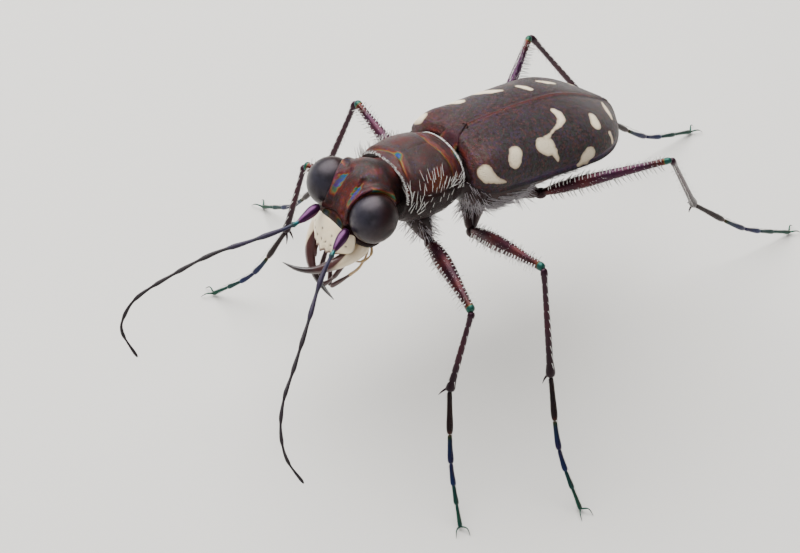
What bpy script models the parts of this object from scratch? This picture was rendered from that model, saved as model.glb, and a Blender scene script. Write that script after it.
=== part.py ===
"""A tiger beetle at life size, still, standing tall on six thin legs.

The beetle faces -Y, its left side is +X and the floor is z = 0. Sizes are in millimetres until
a mesh is made. Body pieces are placed in the body's own frame, mouthparts in the head's frame,
and each leg runs from its hip on the body down to a toe that is ground flat on the floor.
"""

from math import asin, cos, pi, radians, sin

import bmesh
import bpy
from mathutils import Matrix, Vector

MM = 0.001
GAP = 0.27  # between a piece and what it grows from

# The stance
BODY_HEIGHT = 8.63  # floor to the waist, where pronotum and elytra meet
HEAD_UP = 9.6  # degrees
HEAD_PIVOT = (0, -3.61, -0.04)  # midway between the eyes, in the body's frame
HEAD_DOWN = 66  # degrees from the body's line to the line of the face

# The body, front to back
PRONOTUM_FRONT = -2.35
PRONOTUM_BACK = 0.10
ELYTRA_FRONT = 0.38
ELYTRA_LENGTH = 7.47
ELYTRA_THICKNESS = 0.5
THORAX_BACK = 3.05
ABDOMEN_BACK = 7.92
ROUNDNESS = 2.25  # 2 is an ellipse, more is squarer

# The head
CRANIUM_RADII = (1.16, 1.24, 0.90)
EYE_OUT = 1.10
EYE_RADII = (0.77, 0.83, 0.77)
EYE_CUT = 0.72  # the eye is flat inside this distance from the middle
FACE_END = 1.12
FEELER_RADIUS = 0.25
PALP_RADIUS = 0.2

# The legs: lengths of femur, tibia and tarsus
LEG_LENGTHS = {
    "fore": (3.29, 3.05, 4.58),
    "mid": (4.14, 4.13, 4.68),
    "hind": (4.83, 5.68, 6.21),
}
# In the body's frame, on the left side: where the coxa is rooted and where the femur begins
COXA_ROOTS = {"fore": (0.62, -1.30, -0.90), "mid": (0.72, 1.30, -1.05), "hind": (0.72, 2.60, -1.05)}
HIPS = {"fore": (1.21, -0.93, -1.94), "mid": (1.33, 0.85, -2.09), "hind": (1.32, 3.84, -1.60)}
# Degrees for femur, tibia and both halves of the tarsus: heading is 0 straight out and 90 straight
# back, rise is above level. The last half falls to the floor.
LEG_POSES = {
    ("fore", "left"): ((-14, -7), (-76, -70), (-35, -53), -25),
    ("mid", "left"): ((-4, 19), (-16, -74), (-25, -54), -4),
    ("hind", "left"): ((45, 25), (115, -55), (80, -42), 88),
    ("fore", "right"): ((-15, -3), (-62, -78), (-45, -62), -33),
    ("mid", "right"): ((6, 13), (-48, -73), (-4, -54), 0),
    ("hind", "right"): ((59, 22), (107, -56), (91, -42), 87),
}
SIDES = {"left": 1, "right": -1}
LIMB_RADIUS = 0.25
BEND_ROOM = 0.6  # from a bend to the nearest ring, so that the slanted end doesn't cross it
TOE_RADIUS = 0.15
TOE_FLAT = 0.03  # how much of the toe's underside the floor takes off
TARSOMERES = (0.317, 0.212, 0.162, 0.139, 0.17)  # shares of the tarsus

# Feelers: each runs through these places, on the part's own axes, in mm above the floor
FEELER_ROUTES = {
    "left": ((0.93, -4.78, 8.80), (1.14, -5.32, 8.48), (1.49, -6.07, 7.98), (2.16, -7.08, 7.27),
             (2.83, -8.16, 6.43), (3.29, -8.93, 5.83), (3.82, -9.46, 5.19), (4.44, -9.69, 4.54),
             (5.16, -9.55, 3.92)),
    "right": ((-0.66, -4.76, 8.84), (-0.68, -5.43, 8.55), (-1.19, -6.81, 8.22), (-1.67, -7.94, 7.96),
              (-2.09, -9.10, 7.49), (-2.52, -10.36, 6.82), (-2.56, -10.94, 6.22), (-2.38, -11.16, 5.73),
              (-1.80, -10.99, 4.95)),
}
FEELER_JOINTS = (1.0, 0.25, 1.05, 0.9, 0.95, 0.85, 0.8, 0.78, 0.72, 0.68, 0.75)  # relative lengths
FEELER_LENGTHS = {"scape": (0, 2), "base": (2, 4), "middle": (4, 7), "tip": (7, 11)}

# Jaw and palps on the left: out, towards the mouth, towards the face's front
JAW_ROUTE = ((0.82, 1.22, -0.44), (0.86, 1.65, -0.36), (0.75, 2.10, -0.16), (0.44, 2.60, 0.06),
             (-0.05, 2.95, 0.20), (-0.65, 3.12, 0.23), (-1.26, 3.20, 0.23))
JAW_RADII = (0.30, 0.32, 0.28, 0.21, 0.14, 0.11, 0.05)
JAW_TEETH = ((0.50, 0.40), (0.62, 0.36), (0.73, 0.28))  # share of the jaw's length, and length
PALP_ROUTES = {
    "maxillary": ((0.92, 1.35, -0.98), (1.22, 1.85, -0.86), (1.14, 2.40, -0.74), (0.80, 2.95, -0.68)),
    "labial": ((0.42, 1.20, -1.30), (0.66, 1.75, -1.42), (0.74, 2.30, -1.36), (0.42, 2.85, -1.26)),
}


def clear_scene():
    for obj in list(bpy.data.objects):
        bpy.data.objects.remove(obj)


def finish(name, color, roughness, metallic):
    material = bpy.data.materials.new(name)
    material.use_nodes = True
    shader = material.node_tree.nodes["Principled BSDF"]
    shader.inputs["Base Color"].default_value = (*color, 1)
    shader.inputs["Roughness"].default_value = roughness
    shader.inputs["Metallic"].default_value = metallic
    return material


def empty(name, parent=None, location=(0, 0, 0), turn_x=0):
    obj = bpy.data.objects.new(name, None)
    bpy.context.scene.collection.objects.link(obj)
    obj.parent = parent
    obj.location = Vector(location) * MM
    obj.rotation_euler.x = radians(turn_x)
    return obj


def make_object(name, bm, parent, look, location=(0, 0, 0)):
    """Turns a bmesh in millimetres into a named object with a material of its own."""
    bmesh.ops.recalc_face_normals(bm, faces=bm.faces)
    bmesh.ops.scale(bm, verts=bm.verts, vec=(MM, MM, MM))
    mesh = bpy.data.meshes.new(name)
    bm.to_mesh(mesh)
    bm.free()
    mesh.shade_smooth()
    mesh.set_sharp_from_angle(angle=radians(40))
    obj = bpy.data.objects.new(name, mesh)
    bpy.context.scene.collection.objects.link(obj)
    obj.parent = parent
    obj.location = Vector(location) * MM
    if look:
        mesh.materials.append(finish(name, *look))
    return obj


def add_loft(bm, rings):
    """Joins rings of equally many points into one closed skin, with a cap on each end."""
    loops = [[bm.verts.new(point) for point in ring] for ring in rings]
    count = len(loops[0])
    for near, far in zip(loops, loops[1:]):
        for i in range(count):
            j = (i + 1) % count
            bm.faces.new((near[i], near[j], far[j], far[i]))
    bm.faces.new(loops[0][::-1])
    bm.faces.new(loops[-1])


def oval(half_width, top, bottom, y, sides, roundness=ROUNDNESS):
    """A ring in the XZ plane: an ellipse with squared shoulders."""
    middle, half_height = (top + bottom) / 2, (top - bottom) / 2
    ring = []
    for i in range(sides):
        angle = 2 * pi * (i + 0.5) / sides
        across, up = sin(angle), cos(angle)
        stretch = (abs(across) ** roundness + abs(up) ** roundness) ** (-1 / roundness)
        ring.append(Vector((half_width * across * stretch, y, middle + half_height * up * stretch)))
    return ring


def through(stations, at):
    """The values that stations hold beside their first number, read smoothly at any place."""
    places = [station[0] for station in stations]
    k = max(i for i in range(len(places) - 1) if i == 0 or places[i] <= at)

    def slope(i, column):
        low, high = max(i - 1, 0), min(i + 1, len(places) - 1)
        return (stations[high][column] - stations[low][column]) / (places[high] - places[low])

    width = places[k + 1] - places[k]
    t = min(max((at - places[k]) / width, 0), 1)
    values = []
    for column in range(1, len(stations[0])):
        a, b = stations[k][column], stations[k + 1][column]
        da, db = slope(k, column) * width, slope(k + 1, column) * width
        values.append(
            a * (2 * t**3 - 3 * t**2 + 1) + da * (t**3 - 2 * t**2 + t)
            + b * (3 * t**2 - 2 * t**3) + db * (t**3 - t**2)
        )
    return values


def smooth_route(points, steps):
    """A curve through the points, as `steps` places on each stretch."""
    stations = [(i, *point) for i, point in enumerate(points)]
    count = (len(points) - 1) * steps
    return [Vector(through(stations, i / steps)) for i in range(count + 1)]


def cut_short(route, start, end):
    """The part of a route between two lengths measured along it."""
    piece, walked = [], 0
    for a, b in zip(route, route[1:]):
        span = (b - a).length
        if walked <= start < walked + span:
            piece.append(a.lerp(b, (start - walked) / span))
        if start < walked + span < end:
            piece.append(b.copy())
        if walked < end <= walked + span:
            piece.append(a.lerp(b, (end - walked) / span))
        walked += span
    return piece


def route_length(route):
    return sum((b - a).length for a, b in zip(route, route[1:]))


def add_tube(bm, route, radii, sides, start_cut=None, end_cut=None):
    """A closed round tube along a route. A cut is a plane, as a place and a direction, that an end
    is drawn out to or trimmed back to, so that two pieces meet face to face at a bend."""
    tangents = []
    for i in range(len(route)):
        before, after = route[max(i - 1, 0)], route[min(i + 1, len(route) - 1)]
        tangents.append((after - before).normalized())
    across = tangents[0].orthogonal().normalized()
    rings = []
    for place, tangent, radius in zip(route, tangents, radii):
        across = (across - tangent * across.dot(tangent)).normalized()
        other = tangent.cross(across)
        turns = [2 * pi * i / sides for i in range(sides)]
        rings.append([place + (across * cos(a) + other * sin(a)) * radius for a in turns])
    for ring, tangent, cut in ((rings[0], tangents[0], start_cut), (rings[-1], tangents[-1], end_cut)):
        if cut:
            place, facing = cut
            for i, point in enumerate(ring):
                ring[i] = point + tangent * ((place - point).dot(facing) / tangent.dot(facing))
    add_loft(bm, rings)


def tube(name, route, radii, sides, parent, look, start_cut=None, end_cut=None):
    bm = bmesh.new()
    origin = route[0].copy()
    moved = [place - origin for place in route]
    cuts = [(cut[0] - origin, cut[1]) if cut else None for cut in (start_cut, end_cut)]
    add_tube(bm, moved, radii, sides, *cuts)
    return make_object(name, bm, parent, look, origin)


def keep_largest(mesh):
    """A Boolean can leave scraps or a sealed hollow: only the largest closed surface stays."""
    bm = bmesh.new()
    bm.from_mesh(mesh)
    left, islands = set(bm.faces), []
    while left:
        front = [left.pop()]
        island = list(front)
        while front:
            face = front.pop()
            near = {other for edge in face.edges for other in edge.link_faces} & left
            left -= near
            front.extend(near)
            island.extend(near)
        islands.append(island)
    islands.sort(key=lambda island: -sum(face.calc_area() for face in island))
    loose = [face for island in islands[1:] for face in island]
    bmesh.ops.delete(bm, geom=loose, context="FACES")
    bmesh.ops.triangulate(bm, faces=bm.faces)
    bm.to_mesh(mesh)
    bm.free()


def apply_boolean(piece, others, operation):
    """One Boolean on a collection of the others, applied, with the others removed."""
    group = bpy.data.collections.new("tools")
    bpy.context.scene.collection.children.link(group)
    for other in others:
        group.objects.link(other)
    bpy.context.view_layer.update()
    modifier = piece.modifiers.new(operation, "BOOLEAN")
    modifier.operation = operation
    modifier.solver = "MANIFOLD"  # EXACT leaves open edges where thin pieces meet at this size
    modifier.operand_type = "COLLECTION"
    modifier.collection = group
    graph = bpy.context.evaluated_depsgraph_get()
    joined = bpy.data.meshes.new_from_object(piece.evaluated_get(graph))
    piece.modifiers.clear()
    old, name = piece.data, piece.data.name
    piece.data = joined
    bpy.data.meshes.remove(old)
    joined.name = name
    for other in others:
        bpy.data.objects.remove(other)
    bpy.data.collections.remove(group)
    keep_largest(joined)


def clear_of(piece, neighbours, gap=GAP):
    """Cuts a piece back so that it follows each neighbour's surface at the gap."""
    bpy.context.view_layer.update()
    cutters = []
    for neighbour in neighbours:
        bm = bmesh.new()
        bm.from_mesh(neighbour.data)
        bm.normal_update()
        moves = [(vert, vert.normal * gap * MM) for vert in bm.verts]
        for vert, move in moves:
            vert.co += move
        mesh = bpy.data.meshes.new("cutter")
        bm.to_mesh(mesh)
        bm.free()
        cutter = bpy.data.objects.new("cutter", mesh)
        bpy.context.scene.collection.objects.link(cutter)
        cutter.matrix_world = neighbour.matrix_world.copy()
        cutter.hide_render = True
        cutter.display_type = "WIRE"
        cutters.append(cutter)
    apply_boolean(piece, cutters, "DIFFERENCE")


def fuse_tubes(piece, shapes, sides):
    """Joins short tapering tubes to a piece: each shape is a route and its radii."""
    extras = []
    for route, radii in shapes:
        extras.append(tube("extra", route, radii, sides, piece.parent, None))
    apply_boolean(piece, extras, "UNION")


def prothorax(body):
    """The ring behind the head, with a collar and a cross groove at each end and a middle line."""
    stations = (  # y, half width, top, bottom
        (PRONOTUM_FRONT, 1.26, 0.98, -1.00),
        (-2.22, 1.38, 1.10, -1.12),
        (-2.02, 1.36, 1.04, -1.16),
        (-1.80, 1.48, 1.14, -1.22),
        (-1.15, 1.55, 1.21, -1.28),
        (-0.52, 1.46, 1.16, -1.26),
        (-0.26, 1.32, 1.04, -1.20),
        (-0.06, 1.34, 1.08, -1.15),
        (PRONOTUM_BACK, 1.24, 0.98, -1.05),
    )
    bm = bmesh.new()
    rings = []
    for y, half_width, top, bottom in stations:
        ring = oval(half_width, top, bottom, y, 24)
        for point in ring:
            if point.z > 0 and abs(point.x) < 0.25:
                point.z -= 0.04  # the line along the middle of the back
        rings.append(ring)
    add_loft(bm, rings)
    return make_object("prothorax", bm, body, ((0.14, 0.05, 0.05), 0.35, 0.6))


ELYTRA_STATIONS = (  # share of the length, half width, height on the suture, height at the margin
    (0.00, 1.66, 1.08, 0.12),
    (0.025, 1.90, 1.24, 0.00),
    (0.08, 2.04, 1.38, -0.10),
    (0.20, 2.08, 1.50, -0.16),
    (0.42, 2.14, 1.54, -0.18),
    (0.60, 2.20, 1.42, -0.18),
    (0.71, 2.20, 1.18, -0.15),
    (0.81, 1.98, 0.86, -0.09),
    (0.89, 1.52, 0.58, -0.02),
    (0.953, 0.90, 0.36, 0.04),
    (1.00, 0.34, 0.22, 0.06),
)
WIDEST_INSIDE = 0.45  # of the outside, where the shell is thick for its size


def elytra_at(y):
    """Half width, suture height and margin height of the closed elytra at a place along them."""
    return through(ELYTRA_STATIONS, (y - ELYTRA_FRONT) / ELYTRA_LENGTH)


def elytra_inside(y):
    """Half width and height of the hollow under the elytra."""
    half_width, top, margin = elytra_at(y)
    inside = max(half_width - ELYTRA_THICKNESS, half_width * WIDEST_INSIDE)
    height = max(top - ELYTRA_THICKNESS, margin + (top - margin) * WIDEST_INSIDE)
    return inside, height, margin


def arch(side, inner_edge, half_width, top, margin, y, steps):
    """Points from the suture over to the margin, on one side."""
    points = []
    for i in range(steps + 1):
        angle = pi / 2 * i / steps
        across = sin(angle) ** (2 / ROUNDNESS)
        up = max(cos(angle), 0) ** (2 / ROUNDNESS)
        x = inner_edge + (half_width - inner_edge) * across
        points.append(Vector((side * x, y, margin + (top - margin) * up)))
    return points


def elytron(body, side_name):
    side = SIDES[side_name]
    bm = bmesh.new()
    rings = []
    shares = (0, 0.02, 0.05, 0.1, 0.2, 0.32, 0.44, 0.55, 0.65, 0.74, 0.81, 0.87, 0.92, 0.955, 0.98, 1)
    for share in shares:
        y = ELYTRA_FRONT + share * ELYTRA_LENGTH
        half_width, top, margin = elytra_at(y)
        inside, height, _ = elytra_inside(y)
        outer = arch(side, GAP / 2, half_width, top, margin, y, 10)
        inner = arch(side, GAP / 2, inside, height, margin, y, 7)
        rings.append(outer + inner[::-1])
    add_loft(bm, rings)
    return make_object(f"elytron_{side_name}", bm, body, ((0.07, 0.045, 0.05), 0.5, 0.2))


def scutellum(body):
    """The small three-sided plate between the roots of the elytra."""
    wide, length, thick = 0.42, 0.62, 0.42
    bm = bmesh.new()
    front, back = ELYTRA_FRONT, ELYTRA_FRONT + length
    top_front, top_back = elytra_at(front)[1] - 0.02, elytra_at(back)[1] - 0.02
    outline = ((wide, front, top_front), (0.05, back, top_back), (-0.05, back, top_back),
               (-wide, front, top_front))
    upper = [Vector(point) for point in outline]
    add_loft(bm, (upper, [point - Vector((0, 0, thick)) for point in upper]))
    return make_object("scutellum", bm, body, ((0.10, 0.04, 0.04), 0.4, 0.5))


UNDERSIDE_STATIONS = (  # y, half width below the elytra, height of that shoulder, bottom
    (ELYTRA_FRONT, 1.24, -0.28, -1.05),
    (0.70, 1.62, -0.42, -1.30),
    (1.40, 1.78, -0.48, -1.40),
    (2.40, 1.82, -0.50, -1.30),
    (THORAX_BACK, 1.80, -0.50, -1.18),
    (4.00, 1.76, -0.50, -1.12),
    (5.20, 1.80, -0.50, -1.14),
    (6.10, 1.74, -0.46, -1.12),
    (6.90, 1.42, -0.40, -1.00),
    (7.45, 0.94, -0.36, -0.86),
    (ABDOMEN_BACK, 0.42, -0.34, -0.70),
)


def underside_ring(y, pinch=0.0):
    """A ring of the thorax or abdomen: a hump in the hollow of the elytra, wider below them."""
    half_width, shoulder, bottom = through(UNDERSIDE_STATIONS, y)
    inside, height, margin = elytra_inside(max(y, ELYTRA_FRONT))
    hump_side = max(min(inside - GAP, half_width - 0.05), 0.2)
    hump_top = max(height - GAP, shoulder + 0.12)
    half_width, bottom = half_width - pinch, bottom + pinch
    right = []
    for angle in (12, 38, 64, 88):
        across = sin(radians(angle)) ** (2 / ROUNDNESS)
        up = cos(radians(angle)) ** (2 / ROUNDNESS)
        right.append(Vector((hump_side * across, y, shoulder + (hump_top - shoulder) * up)))
    right.append(Vector((half_width, y, shoulder)))
    for angle in (22, 45, 68, 84):
        across = cos(radians(angle)) ** (2 / ROUNDNESS)
        down = sin(radians(angle)) ** (2 / ROUNDNESS)
        right.append(Vector((half_width * across, y, shoulder + (bottom - shoulder) * down)))
    left = [Vector((-point.x, point.y, point.z)) for point in reversed(right)]
    return right + left


def hind_thorax(body):
    bm = bmesh.new()
    rings, length = 7, THORAX_BACK - ELYTRA_FRONT
    add_loft(bm, [underside_ring(ELYTRA_FRONT + length * i / rings) for i in range(rings + 1)])
    return make_object("hind_thorax", bm, body, ((0.08, 0.04, 0.05), 0.4, 0.4))


def abdomen(body):
    """Six belly plates, each with its hind edge standing a little over the next."""
    plates, step = 6, 0.03
    front = THORAX_BACK + GAP
    length = (ABDOMEN_BACK - front) / plates
    rings = []
    for plate in range(plates):
        start = front + plate * length
        rings.append(underside_ring(start + (0.02 if plate else 0), pinch=step if plate else 0))
        rings.append(underside_ring(start + length * 0.5, pinch=step / 2))
        rings.append(underside_ring(start + length))
    bm = bmesh.new()
    add_loft(bm, rings)
    return make_object("abdomen", bm, body, ((0.10, 0.04, 0.03), 0.35, 0.3))


def in_head(out, down, front):
    """The head's own axes: out to its left, down the face to the mouth, and out of the face."""
    return Vector((out, -down, front))


def head(head_frame, neighbours):
    """A round cranium, a flat face below it and a neck behind, with a socket for each eye."""
    bm = bmesh.new()
    bmesh.ops.create_uvsphere(bm, u_segments=24, v_segments=14, radius=1)
    bmesh.ops.scale(bm, verts=bm.verts, vec=CRANIUM_RADII)
    bmesh.ops.translate(bm, verts=bm.verts, vec=in_head(0, -0.14, -0.34))
    skull = make_object("head", bm, head_frame, ((0.12, 0.05, 0.05), 0.35, 0.6))

    face = bmesh.new()
    stations = ((-0.35, 0.78, 0.44, -0.70), (0.35, 0.88, 0.54, -0.92), (0.80, 0.92, 0.50, -0.98),
                (FACE_END, 0.88, 0.36, -0.84))
    add_loft(face, [oval(w, top, low, -down, 16, 2.8) for down, w, top, low in stations])
    face = make_object("face", face, head_frame, None)

    neck = bmesh.new()
    behind = PRONOTUM_FRONT - GAP - HEAD_PIVOT[1]
    rings = [oval(w, 0.1 + w * 0.9, 0.1 - w * 0.9, y, 16) for y, w in ((0.5, 0.6), (behind, 0.82))]
    add_loft(neck, rings)
    bmesh.ops.rotate(neck, verts=neck.verts, cent=(0, 0, 0), matrix=Matrix.Rotation(-radians(HEAD_DOWN), 3, "X"))
    neck = make_object("neck", neck, head_frame, None)
    apply_boolean(skull, [face, neck], "UNION")
    clear_of(skull, neighbours)
    return skull


def eye(head_frame, side_name):
    side = SIDES[side_name]
    bm = bmesh.new()
    bmesh.ops.create_uvsphere(bm, u_segments=20, v_segments=12, radius=1)
    bmesh.ops.scale(bm, verts=bm.verts, vec=EYE_RADII)
    cut = bmesh.ops.bisect_plane(
        bm, geom=bm.verts[:] + bm.edges[:] + bm.faces[:], plane_co=(side * (EYE_CUT - EYE_OUT), 0, 0),
        plane_no=(-side, 0, 0), clear_outer=True
    )
    edges = [item for item in cut["geom_cut"] if isinstance(item, bmesh.types.BMEdge)]
    bmesh.ops.edgeloop_fill(bm, edges=edges)
    place = in_head(side * EYE_OUT, 0, 0)
    return make_object(f"eye_{side_name}", bm, head_frame, ((0.03, 0.03, 0.035), 0.15, 0.0), place)


def labrum(head_frame):
    """The pale upper lip, with small teeth along its front edge."""
    bm = bmesh.new()
    start = FACE_END + GAP
    stations = ((start, 0.84, 0.40, -0.02), (start + 0.25, 0.86, 0.38, -0.02), (start + 0.5, 0.72, 0.30, -0.02),
                (start + 0.64, 0.48, 0.24, -0.02))
    add_loft(bm, [oval(w, top, low, -down, 16, 3) for down, w, top, low in stations])
    lip = make_object("labrum", bm, head_frame, ((0.80, 0.66, 0.46), 0.4, 0.0))
    teeth = []
    for out, length in ((-0.42, 0.1), (-0.2, 0.14), (0, 0.22), (0.2, 0.14), (0.42, 0.1)):
        root = in_head(out, start + 0.42, 0.11)
        tip = in_head(out, start + 0.62 + length, 0.09)
        teeth.append(((root, tip), (0.1, 0.03)))
    fuse_tubes(lip, teeth, 6)
    return lip


def head_route(points, side, lift=1):
    return [in_head(side * out, down, front * (lift if front > 0 else 1)) for out, down, front in points]


def mandible(head_frame, side_name):
    """A sickle jaw with teeth along its inner edge. The left one crosses over the right one."""
    side = SIDES[side_name]
    lift = 1 if side > 0 else -1
    route = smooth_route(head_route(JAW_ROUTE, side, lift), 2)
    marks = [(i, radius) for i, radius in enumerate(JAW_RADII)]
    radii = [through(marks, i / 2)[0] for i in range(len(route))]
    jaw = tube(f"mandible_{side_name}", route, radii, 10, head_frame, ((0.05, 0.02, 0.02), 0.3, 0.3))
    teeth = []
    for share, length in JAW_TEETH:
        place = route[round(share * (len(route) - 1))]
        inward = Vector((-side, 0.25, 0)).normalized()
        teeth.append(((place, place + inward * length), (0.13, 0.03)))
    fuse_tubes(jaw, teeth, 6)
    return jaw


def palp(head_frame, kind, side_name):
    """A jointed feeler of the mouth, thicker at the far end of each joint."""
    route = smooth_route(head_route(PALP_ROUTES[kind], SIDES[side_name]), 2)
    radii = [PALP_RADIUS * (0.85 if i % 2 else 1.08) for i in range(len(route))]
    radii[-1] = PALP_RADIUS * 0.6
    look = ((0.12, 0.04, 0.04), 0.35, 0.3)
    return tube(f"{kind}_palp_{side_name}", route, radii, 8, head_frame, look)


def feeler(root, side_name, head_piece):
    """Eleven joints in four pieces, each joint a little wider at its far end."""
    route = smooth_route(FEELER_ROUTES[side_name], 6)
    whole = route_length(route)
    ends = [0]
    for share in FEELER_JOINTS:
        ends.append(ends[-1] + whole * share / sum(FEELER_JOINTS))
    pieces = []
    for part_name, (first, last) in FEELER_LENGTHS.items():
        places, radii = [], []
        for joint in range(first, last):
            start = ends[joint] + (GAP if joint == first and joint else 0)
            end = ends[joint + 1]
            thin = FEELER_RADIUS * (1 if last < len(FEELER_JOINTS) else 1 - 0.13 * (joint - first))
            stretch = cut_short(route, start, end)
            bend = stretch[len(stretch) // 2]
            places += [stretch[0], bend, stretch[-1]]
            belly = 1.15 if part_name == "scape" else 0.97
            radii += [thin * 0.86, thin * belly, thin * 1.06]
        if last == len(FEELER_JOINTS):
            radii[-1] = FEELER_RADIUS * 0.4
        gentle = [places[0]]
        kept = [radii[0]]
        for place, radius in zip(places[1:], radii[1:]):
            if (place - gentle[-1]).length > 0.02:
                gentle.append(place)
                kept.append(radius)
        look = ((0.10, 0.05, 0.09), 0.35, 0.5)
        pieces.append(tube(f"antenna_{side_name}_{part_name}", gentle, kept, 8, root, look))
    clear_of(pieces[0], [head_piece])
    return pieces


def outward(side, heading, rise):
    heading, rise = radians(heading), radians(rise)
    return Vector((side * cos(heading) * cos(rise), sin(heading) * cos(rise), sin(rise)))


def bend_cut(place, before, after, gap_side):
    """The plane that halves a bend, moved half a gap to one side of it."""
    facing = (before + after).normalized()
    return place + facing * gap_side * GAP / 2, facing


def grind_on_floor(obj):
    """Takes off what lies below the floor and closes the cut with a flat."""
    bm = bmesh.new()
    bm.from_mesh(obj.data)
    floor = Vector((0, 0, -obj.location.z))
    cut = bmesh.ops.bisect_plane(
        bm, geom=bm.verts[:] + bm.edges[:] + bm.faces[:], plane_co=floor, plane_no=(0, 0, -1),
        clear_outer=True
    )
    edges = [item for item in cut["geom_cut"] if isinstance(item, bmesh.types.BMEdge)]
    bmesh.ops.contextual_create(bm, geom=edges)
    bmesh.ops.holes_fill(bm, edges=[edge for edge in bm.edges if edge.is_boundary])
    bmesh.ops.triangulate(bm, faces=bm.faces)
    bmesh.ops.recalc_face_normals(bm, faces=bm.faces)
    bm.to_mesh(obj.data)
    bm.free()


def leg(root, to_part, pair, side_name, blockers):
    side = SIDES[side_name]
    mirror = Vector((side, 1, 1))
    femur_length, tibia_length, tarsus_length = LEG_LENGTHS[pair]
    femur_pose, tibia_pose, tarsus_pose, last_heading = LEG_POSES[pair, side_name]
    coxa_root = to_part @ (Vector(COXA_ROOTS[pair]) * mirror)
    hip = to_part @ (Vector(HIPS[pair]) * mirror)
    femur_line = outward(side, *femur_pose)
    tibia_line = outward(side, *tibia_pose)
    tarsus_line = outward(side, *tarsus_pose)
    knee = hip + femur_line * femur_length
    ankle = knee + tibia_line * tibia_length
    half = tarsus_length * sum(TARSOMERES[:2])
    middle = ankle + tarsus_line * half
    fall = asin((TOE_RADIUS - TOE_FLAT - middle.z) / (tarsus_length - half))
    last_line = outward(side, last_heading, fall * 180 / pi)
    toe = middle + last_line * (tarsus_length - half)
    suffix = f"{pair}_{side_name}"
    dark = ((0.09, 0.03, 0.045), 0.35, 0.5)

    coxa_line = (hip - coxa_root).normalized()
    route = [coxa_root.lerp(hip, share) for share in (0, 0.3, 0.5, 0.62, 1)]
    hip_cut = bend_cut(hip, coxa_line, femur_line, -1)
    coxa = tube(f"coxa_{suffix}", route, (0.52, 0.52, 0.40, 0.36, 0.28), 12, root, dark, None, hip_cut)
    clear_of(coxa, blockers)

    bend = BEND_ROOM / femur_length
    route = [hip.lerp(knee, share) for share in (0, bend, 0.3, 0.5, 0.72, 1 - bend, 1)]
    radii = (0.25, 0.28, 0.34, 0.33, 0.28, LIMB_RADIUS, 0.27)
    cuts = (bend_cut(hip, coxa_line, femur_line, 1), bend_cut(knee, femur_line, tibia_line, -1))
    femur = tube(f"femur_{suffix}", route, radii, 10, root, dark, *cuts)

    bend = BEND_ROOM / tibia_length
    route = [knee.lerp(ankle, share) for share in (0, bend, 0.5, 1 - bend, 1)]
    radii = (0.27, LIMB_RADIUS, LIMB_RADIUS, LIMB_RADIUS, 0.27)
    cuts = (bend_cut(knee, femur_line, tibia_line, 1), bend_cut(ankle, tibia_line, tarsus_line, -1))
    tibia = tube(f"tibia_{suffix}", route, radii, 10, root, dark, *cuts)
    spurs = []
    sideways = tibia_line.cross(femur_line).normalized()
    for turn in (-1, 1):
        start = knee.lerp(ankle, 0.92) - femur_line * 0.05 + sideways * turn * 0.09
        aim = (tibia_line + sideways * turn * 0.35 - femur_line * 0.55).normalized()
        spurs.append(((start, start + aim * 0.75), (0.13, 0.03)))
    fuse_tubes(tibia, spurs, 6)

    spine = [(0, *ankle), (half, *middle), (tarsus_length, *toe)]
    places, radii, walked = [], [], 0
    for i, share in enumerate(TARSOMERES):
        start, end = walked, walked + share * tarsus_length
        walked = end
        thick = LIMB_RADIUS + (TOE_RADIUS - LIMB_RADIUS) * i / (len(TARSOMERES) - 1)
        places += [Vector(through(spine, start + 0.02)), Vector(through(spine, end - 0.12))]
        radii += [thick * 0.84, thick * 1.08]
    places.append(toe)
    radii.append(TOE_RADIUS)
    first_line = (places[1] - places[0]).normalized()
    cut = bend_cut(ankle, tibia_line, first_line, 1)
    tarsus = tube(f"tarsus_{suffix}", places, radii, 8, root, dark, cut, None)
    claws = []
    flat = Vector((last_line.x, last_line.y, 0)).normalized()
    aside = flat.cross(Vector((0, 0, 1)))
    for turn in (-1, 1):
        tip = toe + flat * 0.42 + aside * turn * 0.26
        tip.z = 0.05
        start = toe - last_line * 0.12
        arched = start.lerp(tip, 0.5) + Vector((0, 0, 0.07))
        claws.append(((start, arched, tip), (0.1, 0.09, 0.06)))
    fuse_tubes(tarsus, claws, 6)
    grind_on_floor(tarsus)
    return femur


def centre_on_floor(root):
    """Moves the whole beetle sideways so that its box stands centred on the origin."""
    bpy.context.view_layer.update()
    corners = [
        obj.matrix_world @ vert.co for obj in bpy.data.objects if obj.type == "MESH" for vert in obj.data.vertices
    ]
    for axis in (0, 1):
        values = [corner[axis] for corner in corners]
        root.location[axis] = -(min(values) + max(values)) / 2


def build():
    clear_scene()
    root = empty("beetle")
    body = empty("body", root, (0, 0, BODY_HEIGHT), -HEAD_UP)
    head_frame = empty("head_frame", body, HEAD_PIVOT, HEAD_DOWN)
    bpy.context.view_layer.update()
    to_part = Matrix.Translation((0, 0, BODY_HEIGHT)) @ Matrix.Rotation(-radians(HEAD_UP), 4, "X")

    front = prothorax(body)
    plate = scutellum(body)
    shells = [elytron(body, name) for name in SIDES]
    for shell in shells:
        clear_of(shell, [plate])
    thorax = hind_thorax(body)
    belly = abdomen(body)

    eyes = [eye(head_frame, name) for name in SIDES]
    skull = head(head_frame, [*eyes, front])
    lip = labrum(head_frame)
    for name in SIDES:
        jaw = mandible(head_frame, name)
        clear_of(jaw, [skull, lip])
        for kind in PALP_ROUTES:
            clear_of(palp(head_frame, kind, name), [skull])
        feeler(root, name, skull)

    for pair in LEG_LENGTHS:
        for name in SIDES:
            femur = leg(root, to_part, pair, name, [front] if pair == "fore" else [thorax, belly])
            if pair == "hind":
                clear_of(belly, [femur])
    centre_on_floor(root)


build()
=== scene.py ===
from math import asin, cos, degrees, pi, radians, sin

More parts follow.
